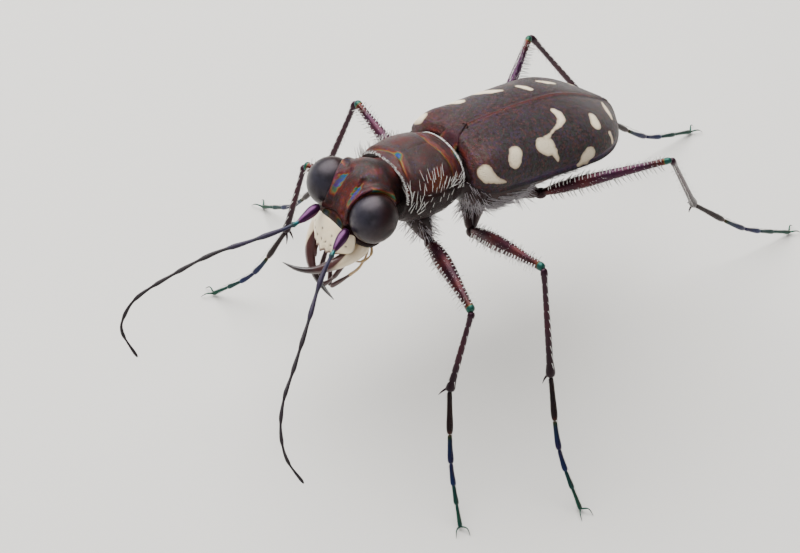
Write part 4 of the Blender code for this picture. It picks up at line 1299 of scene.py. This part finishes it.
def makeLeg(pair, sideName):
    leg = legPlaces(pair, sideName)
    suffix = f"{pair}_{sideName}"
    slim = legs["slim"][pair]
    hinge = leg["hinge"]
    route, radii = tubeThrough(leg["root"], leg["hip"], legs["coxa"][pair], count=12)
    coxa = limb(f"coxa_{suffix}_shell", [{"route": route, "radii": radii}], sides=14, levels=2)
    paint(coxa, "film", np.full(len(coxa.data.vertices), 0.12))
    paint(coxa, "shade", 0.95 - 0.25 * ramp(0.35, 0.7, alongLine(coxa, leg["root"], leg["hip"])))
    finishPiece(coxa, legFinish, "legs", f"coxa_{suffix}")

    # the femur, with the small black trochanter at its root
    bow = leg["tibia"].cross(leg["femur"]).cross(leg["femur"]).normalized() * 0.05 * mm
    route, radii = tubeThrough(leg["hip"], leg["knee"], legs["femur"], slim, bow, 34)
    knob = leg["hip"] - leg["femur"] * 0.14 * mm
    end = leg["hip"] + leg["femur"] * 0.34 * mm + leg["tibia"] * 0.07 * mm
    knobRoute, knobRadii = tubeThrough(knob, end, legs["knob"], count=8)
    femur = limb(f"femur_{suffix}_shell", [
        {"route": route, "radii": radii, "up": hinge, "squash": 1.15},
        {"route": knobRoute, "radii": knobRadii},
    ])
    share = alongLine(femur, leg["hip"], leg["knee"])
    green = 0.70 * ramp(0.945, 0.952, share)
    violet = {"right": 0.55, "left": 0.22}[sideName] + 0.45 * (pair == "hind") * ramp(0.35, 0.6, share)
    paint(femur, "film", np.maximum(green, 0.20 + 0.06 * np.sin(share * 21)))
    paint(femur, "purple", violet * (1 - ramp(0.78, 0.9, share)))
    paint(femur, "shade", np.maximum(0.58, 0.95 * ramp(0.12, 0.05, share)) - 0.10 * ramp(0.93, 0.97, share))
    finishPiece(femur, legFinish, "legs", f"femur_{suffix}")

    route, radii = tubeThrough(leg["knee"], leg["ankle"], legs["tibia"], count=34)
    lengths = [{"route": route, "radii": radii, "up": hinge, "squash": 0.9}]
    for turn in (-1, 1):
        start = leg["knee"].lerp(leg["ankle"], 0.965) - leg["femur"] * 0.04 * mm + hinge * turn * 0.06 * mm
        aim = (leg["tibia"] + hinge * turn * 0.30 - leg["femur"] * 0.50).normalized()
        bow = -leg["femur"] * 0.03 * mm
        route, radii = tubeThrough(start, start + aim * legs["spur"] * mm, legs["spurRadii"], 1, bow, 7)
        lengths.append({"route": route, "radii": radii})
    tibia = limb(f"tibia_{suffix}_shell", lengths, sides=12)
    share = alongLine(tibia, leg["knee"], leg["ankle"])
    paint(tibia, "film", 0.04 + 0.10 * hump(share - 0.45, 0.3))
    paint(tibia, "purple", 0.22 + 0 * share)
    paint(tibia, "shade", 0.55 + 0.30 * ramp(0.5, 0.9, share))
    finishPiece(tibia, legFinish, "legs", f"tibia_{suffix}")
    makeTarsus(leg, suffix, sum(legs["lengths"][pair][2:]) * mm)
    return leg


def makeTarsus(leg, suffix, length):
    marks = (0, length * sum(legs["tarsomeres"][:2]), length)
    stations = [(mark, *leg[place]) for mark, place in zip(marks, ("ankle", "middle", "toe"))]
    lengths, start = [], 0.0
    for joint, share in enumerate(legs["tarsomeres"]):
        end = start + share * length
        shape = np.array(legs["footShape"]) * (legs["footRadii"][joint] * mm)
        shares = np.linspace(0, 1, len(shape))
        low, first = 0.02 * mm, 0.10 * mm * (joint == 0)  # the first joint starts inside the shin
        route = smooth(stations, start - low - first + (end - start + low * 2 + first) * shares)
        lengths.append({"route": route, "radii": shape, "up": Vector((0, 0, 1)), "squash": 1.1})
        start = end
    flat = Vector((leg["last"].x, leg["last"].y, 0)).normalized()
    aside = flat.cross(Vector((0, 0, 1)))
    for turn in (-1, 1):
        root = leg["toe"] - leg["last"] * 0.05 * mm
        tip = leg["toe"] + (flat * legs["clawAhead"] + aside * turn * legs["clawAside"]) * mm
        tip.z = legs["clawTip"] * mm
        arched = root.lerp(tip, 0.5) + (aside * turn * 0.06 + Vector((0, 0, 0.13))) * mm
        route = smoothRoute([root, arched, tip], 5)
        radii = (np.linspace(1, 0, len(route)) ** 0.8 * legs["clawThick"] + legs["clawThin"]) * mm
        lengths.append({"route": route, "radii": radii})
    piece = limb(f"tarsus_{suffix}_joints", lengths, sides=10)
    here = coordinates(piece)
    here[:, 2] = np.maximum(here[:, 2], 0)
    piece.data.vertices.foreach_set("co", here.ravel())
    share = alongLine(piece, leg["ankle"], leg["toe"])
    # the sheen and the shade change along the foot
    for paintName in ("film", "shade"):
        paint(piece, paintName, np.interp(share, *legs["footPaint"][paintName]))
    return finishPiece(piece, legFinish, "legs", f"tarsus_{suffix}")


legFinish = duskyMaterial("leg", {
    "metallic": 0.62, "coatRough": 0.2, "dark": (0.016, 0.0026, 0.005), "light": (0.045, 0.0075, 0.012),
    "pits": 14.0, "pitDepth": 0.5, "net": 46.0, "netDepth": 0.3, "waver": 0.16,
    "over": ("purple", (0.095, 0.020, 0.085)), "shade": (0.004, 0.0014, 0.0018), "shadeShare": 0.92,
    "rough": 0.30, "bump": 0.6, "bumpDepth": 0.012,
})
madeLegs = {
    (pair, sideName): makeLeg(pair, sideName)
    for pair in legs["lengths"] for sideName in bothSides
}
print("legs made")


# The underside: the hind thorax and the belly
underside = {
    # y, half width below the wing cases, height of that shoulder, bottom
    "stations": (
        (-0.10, 1.00, 0.10, -0.85), (0.38, 1.24, -0.20, -1.05), (0.70, 1.62, -0.38, -1.30),
        (1.40, 1.80, -0.50, -1.62),
        (2.40, 1.84, -0.52, -1.60), (3.05, 1.80, -0.46, -1.26), (4.00, 1.76, -0.46, -1.12),
        (5.20, 1.80, -0.44, -1.14), (6.10, 1.74, -0.40, -1.12), (6.90, 1.58, -0.30, -1.00),
        (7.45, 1.14, -0.26, -0.86), (7.92, 0.44, -0.26, -0.66),
    ),
    "columns": 120, "plates": 6,
    # where each part starts and ends along the body, and its rows
    "thorax": (-0.10, 3.16, 90), "belly": (3.10, 7.92, 120),
}


def undersideAt(turn, y):
    half, shoulder, bottom = smooth(underside["stations"], y).T
    half, shoulder, bottom = half[:, None], shoulder[:, None], bottom[:, None]
    across, up = np.sin(turn), np.cos(turn)
    power = 2 / elytra["roundness"]
    shape = elytraShape(y)
    top = np.maximum(shape[:, 1:2] - 0.42, shoulder + 0.1)
    x = half * np.sign(across) * np.abs(across) ** power
    low = shoulder + (bottom - shoulder) * np.abs(up) ** power
    high = shoulder + (top - shoulder) * np.abs(up) ** power
    narrow = np.where(up > 0, 1 - 0.14 * ramp(0, 0.4, up), 1)
    return x * narrow, np.where(up > 0, high, low)


def elytraShape(y):
    return smooth(elytra["stations"], (np.maximum(y, elytra["front"]) - elytra["front"]) / elytra["length"])


def makeUnderside(name, start, end, rows, finish, node, plates=0):
    columns = underside["columns"]
    y = np.linspace(start, end, rows + 1)
    turns = np.linspace(-pi, pi, columns + 1)[None, :]
    x, z = undersideAt(turns, y)
    y = y[:, None] + 0 * x
    down = ramp(0.1, -0.3, np.cos(turns) + 0 * x)
    if plates:
        step = (y - start) / (end - start) * plates % 1
        edge = np.where(step > 0.5, 1 - step, step) * (end - start) / plates
        lift = 0.025 * step - 0.05 * hump(edge, 0.03)
        lift -= 0.02 * hump(np.abs(x) - 0.8 * np.max(x, 1, keepdims=True), 0.05)
    else:
        lift = -0.05 * hump(x, 0.03) * ramp(0.9, 1.2, y)
        for line in (0.62, 1.55, 2.72):
            lift = lift - 0.06 * hump(y - line - 0.25 * np.abs(x) / 1.6, 0.04)
        lift = lift - 0.05 * hump(np.abs(x) - 1.18, 0.04) * ramp(0.7, 1.0, y)
    lift = lift * down
    points = np.stack([x + lift * np.sin(turns), y, z + lift * np.cos(turns)], -1)
    caps = []
    for row, inward in ((0, -1), (-1, 1)):
        rings = [points[row] * 1]
        for share, depth in ((0.8, 0.05), (0.45, 0.10), (0.0, 0.12)):
            middle = points[row].mean(0)
            ring = middle + (points[row] - middle) * share
            ring[:, 1] += inward * depth * (1 if node == "abdomen" else 0.3)
            rings.append(ring)
        caps.append(rings[1:])
    points = np.array(caps[0][::-1] + list(points) + caps[1])
    points[:, -1] = points[:, 0]
    piece = sheetOf(name, bodyPoints(points), closed=True)
    x, y, z = inBody(piece).T
    if plates:
        paint(piece, "film", 0.10 + 0.18 * ramp(6.6, 7.3, y))
        paint(piece, "amber", ramp(6.9, 7.6, y) * 0.8)
        paint(piece, "shade", 0.45 * (1 - ramp(6.6, 7.3, y)))
    else:
        paint(piece, "film", 0.10 + 0.12 * hump(np.abs(x) - 1.3, 0.3) * hump(y - 1.6, 1.0))
        paint(piece, "shade", 0.80 + 0.16 * ramp(0.8, 0.4, y))
    return finishPiece(piece, finish, "underside", node)


bellyFinish = duskyMaterial("belly", {
    "metallic": 0.5, "coatRough": 0.25, "dark": (0.026, 0.008, 0.010), "light": (0.062, 0.020, 0.022),
    "pits": 10.0, "pitDepth": 0.4, "net": 34.0, "netDepth": 0.4, "waver": 0.3,
    "over": ("amber", (0.22, 0.060, 0.018)), "shade": (0.006, 0.0018, 0.002), "shadeShare": 0.9,
    "rough": 0.28, "bump": 0.4, "bumpDepth": 0.014,
})
makeUnderside("hind_thorax_shell", *underside["thorax"], bellyFinish, "hind_thorax")
makeUnderside("abdomen_shell", *underside["belly"], bellyFinish, "abdomen", underside["plates"])
print("underside made")


# Bristles and hairs, each a tapered spike of its own
coat = {
    "rings": (0.0, 0.4, 0.75), "taper": (1.0, 0.8, 0.48), "sides": 3, "patch": 0.0015,
    # the combs of the left femora, mirrored on the right: how far round each stands, in degrees, and how
    # far its bristles lean aside; then how far apart they stand along the femur
    "combs": (-74, -18, 90, 180), "aside": (-1.5, 1.5, 1.0, -1.0), "combStep": 0.165,
    "fringePerMm": 60, "shinStep": 0.36, "footStep": 0.09,
    # the shares of each length that carry hairs
    "combSpan": (0.09, 0.92), "fringeSpan": (0.1, 0.9), "shinSpan": (0.06, 0.86), "footSpan": (0.03, 0.97),
    # count, and where along the coxa they start and end
    "coxaHairs": {"fore": (150, 0.12, 0.86), "mid": (110, 0.08, 0.52), "hind": (110, 0.05, 0.6)},
    # how far they lean along the limb, then length and radius in mm, and how much lengths and lines vary
    "comb": {"lean": 0.35, "length": 0.31, "radius": 0.027, "spread": 0.2, "loose": 0.12},
    "fringe": {"lean": 0.9, "length": 0.17, "radius": 0.0055, "spread": 0.4, "loose": 0.3},
    "shin": {"lean": 1.0, "length": 0.21, "radius": 0.012, "spread": 0.3, "loose": 0.15},
    "foot": {"lean": 1.6, "length": 0.11, "radius": 0.006, "spread": 0.2, "loose": 0.12},
    "toe": {"lean": 1.6, "length": 0.10, "radius": 0.006, "spread": 0.2, "loose": 0.12},
    "coxa": {"lean": 0.8, "length": 0.42, "radius": 0.014, "spread": 0.35, "loose": 0.28},
    # flank bristles: count, turns from and to, places along the body from and to, lean, length
    "flank": (
        (8, 0.88, 1.00, -1.75, -0.85, (2.2, -0.35), 0.40), (11, 1.08, 1.34, -1.95, -0.9, (2.2, -0.5), 0.40),
        (10, 1.10, 1.36, -0.95, -0.42, (1.6, 0.0), 0.32), (8, 1.42, 1.75, -2.0, -0.5, (2.4, -0.8), 0.36),
        (6, 1.80, 2.20, -2.1, -0.4, (2.4, -1.0), 0.34), (10, 1.45, 1.90, -2.32, -1.8, (2.6, -0.3), 0.74),
        (9, 1.02, 1.40, -2.33, -2.15, (2.4, -1.2), 0.46), (14, 1.10, 1.50, -0.36, 0.0, (1.8, -0.1), 0.20),
    ),
    # edge fringes: place along the body, reach, lean, length, count
    "edges": ((-2.335, 1.5, (0.5, -2.4), 0.060, 330), (0.085, 1.6, (0.9, 1.2), 0.085, 420)),
    # underside: count on each side, turns, places along, lean, length, radius, strip of the unwrap
    "below": (
        (180, (1.56, 2.7), (0.8, 2.8), (0.1, 3.6), 0.44, 0.015, (0.02, 0.4)),
        (60, (1.4, 2.3), (0.35, 0.9), (-0.6, 0.8), 0.34, 0.0115, (0.02, 0.4)),
        (200, (1.6, 2.25), (3.2, 7.3), (0.0, 2.6), 0.26, 0.008, (0.42, 0.98)),
    ),
    # the pale hairs, the same hairs painted darker and greyer as shade where they lie under the body, and the
    # dark foot bristles
    "pale": (0.88, 0.86, 0.82), "paleInShade": (0.62, 0.57, 0.60), "smoky": (0.10, 0.07, 0.06),
}
chance = np.random.default_rng(7)


def unit(vectors):
    return vectors / np.maximum(np.linalg.norm(vectors, axis=-1, keepdims=True), 1e-12)


def growCoat(name, slot, material, tufts):
    # tufts are lists of arrays: roots, directions, bends at the tip, lengths and radii in metres, and the
    # root's place on an unwrap of the skin, from 0 to 1
    roots, lines, bends, lengths, radii, places = (np.concatenate(items) for items in zip(*tufts))
    count, sides, rings = len(roots), coat["sides"], len(coat["rings"])
    lines = unit(lines)
    across = unit(np.cross(lines, np.where(np.abs(lines[:, 2:]) < 0.9, (0, 0, 1), (1, 0, 0))))
    other = np.cross(lines, across)
    each = sides * rings + 1
    verts, maps = np.zeros((count, each, 3)), np.zeros((count, each, 2))
    for ring, (share, thin) in enumerate(zip(coat["rings"], coat["taper"])):
        middle = roots + lines * (lengths * share)[:, None] + bends * share**2
        for side in range(sides):
            angle = 2 * pi * side / sides
            turn = across * cos(angle) + other * sin(angle)
            verts[:, ring * sides + side] = middle + turn * (radii * thin)[:, None]
            corner = np.array((cos(angle), sin(angle))) * coat["patch"] * (1 - share)
            maps[:, ring * sides + side] = places + corner
    verts[:, -1] = roots + lines * lengths[:, None] + bends
    maps[:, -1] = places
    faces = []
    for ring in range(rings - 1):
        for side in range(sides):
            after = (side + 1) % sides
            low, high = ring * sides, (ring + 1) * sides
            faces.append((low + side, low + after, high + after, high + side))
    top = (rings - 1) * sides
    faces += [(top + side, top + (side + 1) % sides, each - 1) for side in range(sides)]
    mesh = bpy.data.meshes.new(name)
    starts = (np.arange(count) * each).tolist()
    allFaces = [[start + corner for corner in face] for start in starts for face in faces]
    mesh.from_pydata(verts.reshape(-1, 3).tolist(), [], allFaces)
    corners = np.empty(len(mesh.loops), dtype=np.int32)
    mesh.loops.foreach_get("vertex_index", corners)
    mesh.uv_layers.new(name="OFBake").data.foreach_set("uv", maps.reshape(-1, 2)[corners].ravel())
    piece = bpy.data.objects.new(name, mesh)
    bpy.context.scene.collection.objects.link(piece)
    return finishPiece(piece, material, slot)


def tuft(roots, lines, bend, length, spread, radius, places):
    # the arrays of one tuft, with lengths that vary by the spread and roots sunk a little into the skin
    roots, lines = np.asarray(roots), unit(np.asarray(lines))
    count = len(roots)
    lengths = length * (1 + spread * chance.uniform(-1, 1, count)) * mm
    radii = radius * chance.uniform(0.8, 1.15, count) * mm
    bends = np.asarray(bend) * lengths[:, None] * chance.uniform(0.5, 1.2, (count, 1))
    return roots - lines * 0.012 * mm, lines, bends, lengths, radii, np.asarray(places)


def hairFinish(name, color, rough):
    material, tree, shader = startMaterial(name, Roughness=rough, Specular_IOR_Level=0.4)
    noise = cloudy(tree, 9.0, 2.0)
    darker = tuple(value * 0.72 for value in color)
    tree.links.new(mixColor(tree, noise, (*darker, 1), (*color, 1)), shader.inputs["Base Color"])
    return material


paleHair = hairFinish("paleHair", coat["pale"], 0.35)
# the pale hairs again, painted darker as shade, for the hairs under the body and on the hips
paleHairInShade = hairFinish("paleHairInShade", coat["paleInShade"], 0.35)
smokyHair = hairFinish("smokyHair", coat["smoky"], 0.4)


def jitter(count, amount):
    return chance.normal(0, amount, (count, 3))


def pronotumTuft(turns, y, lean, length, spread, radius, bend=(0, 0, 0.1), loose=0.15):
    # lean is how far hairs tip towards the midline, then backwards, from standing straight out
    roots = pronotumAt(turns, y)
    step = 0.01
    towards = unit(pronotumAt(turns - np.sign(turns) * step, y) - roots)
    backwards = unit(pronotumAt(turns, y + step) - roots)
    normals = np.cross(towards, backwards)
    normals *= np.sign(np.sum(normals * (roots * (1, 0, 1)), -1))[:, None]
    lines = normals + towards * lean[0] + backwards * lean[1] + jitter(len(roots), loose)
    shares = (y - pronotum["front"]) / (pronotum["back"] - pronotum["front"])
    places = np.stack([0.5 + turns / (2 * pi) * 0.96, 0.02 + shares * 0.96], -1)
    lines = unit(lines) @ np.array(bodyTurn).T
    return tuft(bodyPoints(roots), lines, np.array(bend), length, spread, radius, places)


def pronotumHairs():
    tufts = []
    for side in (-1, 1):
        # stiff bristles on the flanks, pointing up
        for count, low, high, front, back, lean, length in coat["flank"]:
            steps = np.arange(count)
            turns = side * (low + (high - low) * (steps * 0.618 % 1))
            y = front + (back - front) * (steps + 0.5) / count + chance.normal(0, 0.03, count)
            tufts.append(pronotumTuft(turns, y, lean, length, 0.22, 0.015, loose=0.22))
    # the white fringes along the front and the back edge
    for y, reach, lean, length, count in coat["edges"]:
        turns = chance.uniform(-reach, reach, count)
        places = y + chance.normal(0, 0.012, count)
        tufts.append(pronotumTuft(turns, places, lean, length, 0.25, 0.0085, (0, 0, 0)))
    return growCoat("pronotum_bristles", "prothorax", paleHair, tufts)


def undersideTuft(turns, y, lean, length, spread, radius, band):
    def at(t, along):
        x, z = undersideAt(t[:, None], along)
        return np.stack([x[:, 0], along, z[:, 0]], -1)
    roots = at(turns, y)
    upwards = unit(at(turns - np.sign(turns) * 0.02, y) - roots)
    backwards = unit(at(turns, y + 0.02) - roots)
    normals = np.cross(upwards, backwards)
    normals *= np.sign(np.sum(normals * (roots * (1, 0, 1) + (0, 0, 0.6)), -1))[:, None]
    lines = normals + upwards * lean[0] + backwards * lean[1] + jitter(len(roots), 0.2)
    upright = band[0] + (y - y.min()) / np.ptp(y) * (band[1] - band[0])
    places = np.stack([0.5 + turns / (2 * pi) * 0.96, upright], -1)
    lines = unit(lines) @ np.array(bodyTurn).T
    return tuft(bodyPoints(roots), lines, np.array((0, 0.1, -0.1)), length, spread, radius, places)


def undersideHairs():
    tufts = []
    for side in (-1, 1):
        for count, around, along, lean, length, radius, band in coat["below"]:
            turns = side * chance.uniform(*around, count)
            y = chance.uniform(*along, count)
            tufts.append(undersideTuft(turns, y, lean, length, 0.3, radius, band))
    return growCoat("underside_hairs", "underside", paleHairInShade, tufts)


def limbTuft(limbLine, hinge, shares, angles, look, column, aside=0.0):
    # hairs on a straight limb that lean along it and aside round it; the limb is its start, end, stations
    # and thickness, and the column is its own strip of the unwrap
    start, end, stations, thick = limbLine
    start, end, hinge = np.array(start), np.array(end), np.array(hinge)
    line = unit(end - start)
    other = np.cross(line, hinge)
    normals = hinge * np.cos(angles)[:, None] + other * np.sin(angles)[:, None]
    radii = smooth(stations, shares)[:, 0] * thick * mm
    roots = start + (end - start) * shares[:, None] + normals * (radii * 0.97)[:, None]
    around = np.cross(line, normals) * np.reshape(aside, (-1, 1))
    lines = normals + line * look["lean"] + around + jitter(len(shares), look["loose"])
    places = np.stack([column[0] + (angles / (2 * pi) % 1) * column[1], 0.02 + 0.96 * shares], -1)
    return tuft(roots, lines, line * 0.12, look["length"], look["spread"], look["radius"], places)


def rowPlaces(rows, count, span):
    # rows of hairs along a limb, evenly spaced round it, each a little out of place
    shares = np.tile(np.linspace(*span, count), rows) + chance.normal(0, 0.003, rows * count)
    angles = np.repeat(np.arange(rows) * 2 * pi / rows, count) + chance.normal(0, 0.05, rows * count)
    return shares, angles


def legHairs():
    bristles, fringes, feet, shoulders = [], [], [], []
    straight = ((0.0, 0.085), (1.0, 0.085))
    for index, ((pair, sideName), leg) in enumerate(madeLegs.items()):
        hinge = leg["hinge"]
        column = (0.01 + index * 0.163, 0.075)
        femurLength, tibiaLength, tarsusLength = legs["lengths"][pair]
        femur = (leg["hip"], leg["knee"], legs["femur"], legs["slim"][pair])
        count = int(femurLength / coat["combStep"])
        shares = np.tile(np.linspace(*coat["combSpan"], count), 4) + chance.normal(0, 0.004, count * 4)
        rows = np.radians(coat["combs"] if leg["side"] > 0 else 180 - np.array(coat["combs"]))
        angles = np.repeat(rows, count) + chance.normal(0, 0.05, count * 4)
        aside = leg["side"] * np.repeat(coat["aside"], count)
        bristles.append(limbTuft(femur, hinge, shares, angles, coat["comb"], column, aside))
        count = int(femurLength * coat["fringePerMm"])
        shares, angles = chance.uniform(*coat["fringeSpan"], count), chance.uniform(0, 2 * pi, count)
        fringes.append(limbTuft(femur, hinge, shares, angles, coat["fringe"], column))
        column = (column[0] + 0.08, 0.075)
        shares, angles = rowPlaces(4, int(tibiaLength / coat["shinStep"]), coat["shinSpan"])
        tibia = (leg["knee"], leg["ankle"], legs["tibia"], 1)
        bristles.append(limbTuft(tibia, hinge, shares, angles, coat["shin"], column))
        shares, angles = rowPlaces(3, int(tarsusLength / 2 / coat["footStep"]), coat["footSpan"])
        up = leg["tarsus"].orthogonal().normalized()
        near = (leg["ankle"], leg["middle"], straight, 1)
        far = (leg["middle"], leg["toe"], straight, 0.9)
        feet.append(limbTuft(near, up, shares, angles, coat["foot"], column))
        feet.append(limbTuft(far, up, shares, angles, coat["toe"], column))
        count, low, high = coat["coxaHairs"][pair]
        shares, angles = chance.uniform(low, high, count), chance.uniform(0, 2 * pi, count)
        coxa = (leg["root"], leg["hip"], legs["coxa"]["fore"], 1)  # near enough for all three pairs
        shoulders.append(limbTuft(coxa, hinge, shares, angles, coat["coxa"], column))
    growCoat("femur_bristles", "legs", paleHair, bristles)
    growCoat("femur_fringes", "legs", paleHair, fringes)
    growCoat("tarsus_bristles", "legs", smokyHair, feet)
    growCoat("coxa_hairs", "legs", paleHairInShade, shoulders)


pronotumHairs()
undersideHairs()
legHairs()
print("bristles grown")


# Camera, floor and light
view = {
    "azimuth": 48.911, "elevation": 43.650, "roll": 2.4218,  # degrees
    "target": (-0.49736, -0.95009, 3.73838), "distance": 100.372, "lens": 131.86,  # mm
}


def aimCamera():
    a, e, roll = (radians(view[name]) for name in ("azimuth", "elevation", "roll"))
    back = Vector((sin(a) * cos(e), -cos(a) * cos(e), sin(e)))
    level = Vector((cos(a), sin(a), 0))
    upright = Vector((-sin(a) * sin(e), cos(a) * sin(e), cos(e)))
    right = level * cos(roll) + upright * sin(roll)
    up = upright * cos(roll) - level * sin(roll)
    data = bpy.data.cameras.new("camera")
    data.lens, data.sensor_width = view["lens"], 36
    data.clip_start, data.clip_end = 0.001, 10
    camera = bpy.data.objects.new("camera", data)
    bpy.context.scene.collection.objects.link(camera)
    place = Vector(view["target"]) * mm + partShift + back * view["distance"] * mm
    camera.matrix_world = Matrix.Translation(place) @ Matrix((right, up, back)).transposed().to_4x4()
    bpy.context.scene.camera = camera


surroundings = {
    "floorSize": 1.2, "floorColor": (0.66, 0.64, 0.60), "floorRoughness": 0.85,
    "skyColor": (0.93, 0.96, 1.0), "skyStrength": 0.27,
    "lit": (0, 0, 0.006),  # where the lamps point, in metres
    # name, place, size, power
    "lamps": (
        ("sky_light", (-0.07, 0.01, 0.15), 0.20, 1.0), ("side_light", (-0.14, -0.05, 0.10), 0.10, 0.05),
        ("front_light", (0.13, -0.12, 0.08), 0.05, 0.03),
    ),
}


def makeSurroundings():
    clearSelection()
    bpy.ops.mesh.primitive_plane_add(size=surroundings["floorSize"])
    floor = bpy.context.object
    floor.name = floor.data.name = "floor"
    material, tree, shader = startMaterial("floor", Roughness=surroundings["floorRoughness"])
    shader.inputs["Base Color"].default_value = (*surroundings["floorColor"], 1)
    floor.data.materials.append(material)
    world = bpy.context.scene.world or bpy.data.worlds.new("sky")
    bpy.context.scene.world = world
    world.use_nodes = True
    background = world.node_tree.nodes["Background"]
    background.inputs["Color"].default_value = (*surroundings["skyColor"], 1)
    background.inputs["Strength"].default_value = surroundings["skyStrength"]
    for name, place, size, power in surroundings["lamps"]:
        light = bpy.data.lights.new(name, "AREA")
        light.size, light.energy = size, power
        lamp = bpy.data.objects.new(name, light)
        bpy.context.scene.collection.objects.link(lamp)
        lamp.location = place
        aim = Vector(surroundings["lit"]) - Vector(place)
        lamp.rotation_euler = aim.to_track_quat("-Z", "Y").to_euler()


aimCamera()
makeSurroundings()
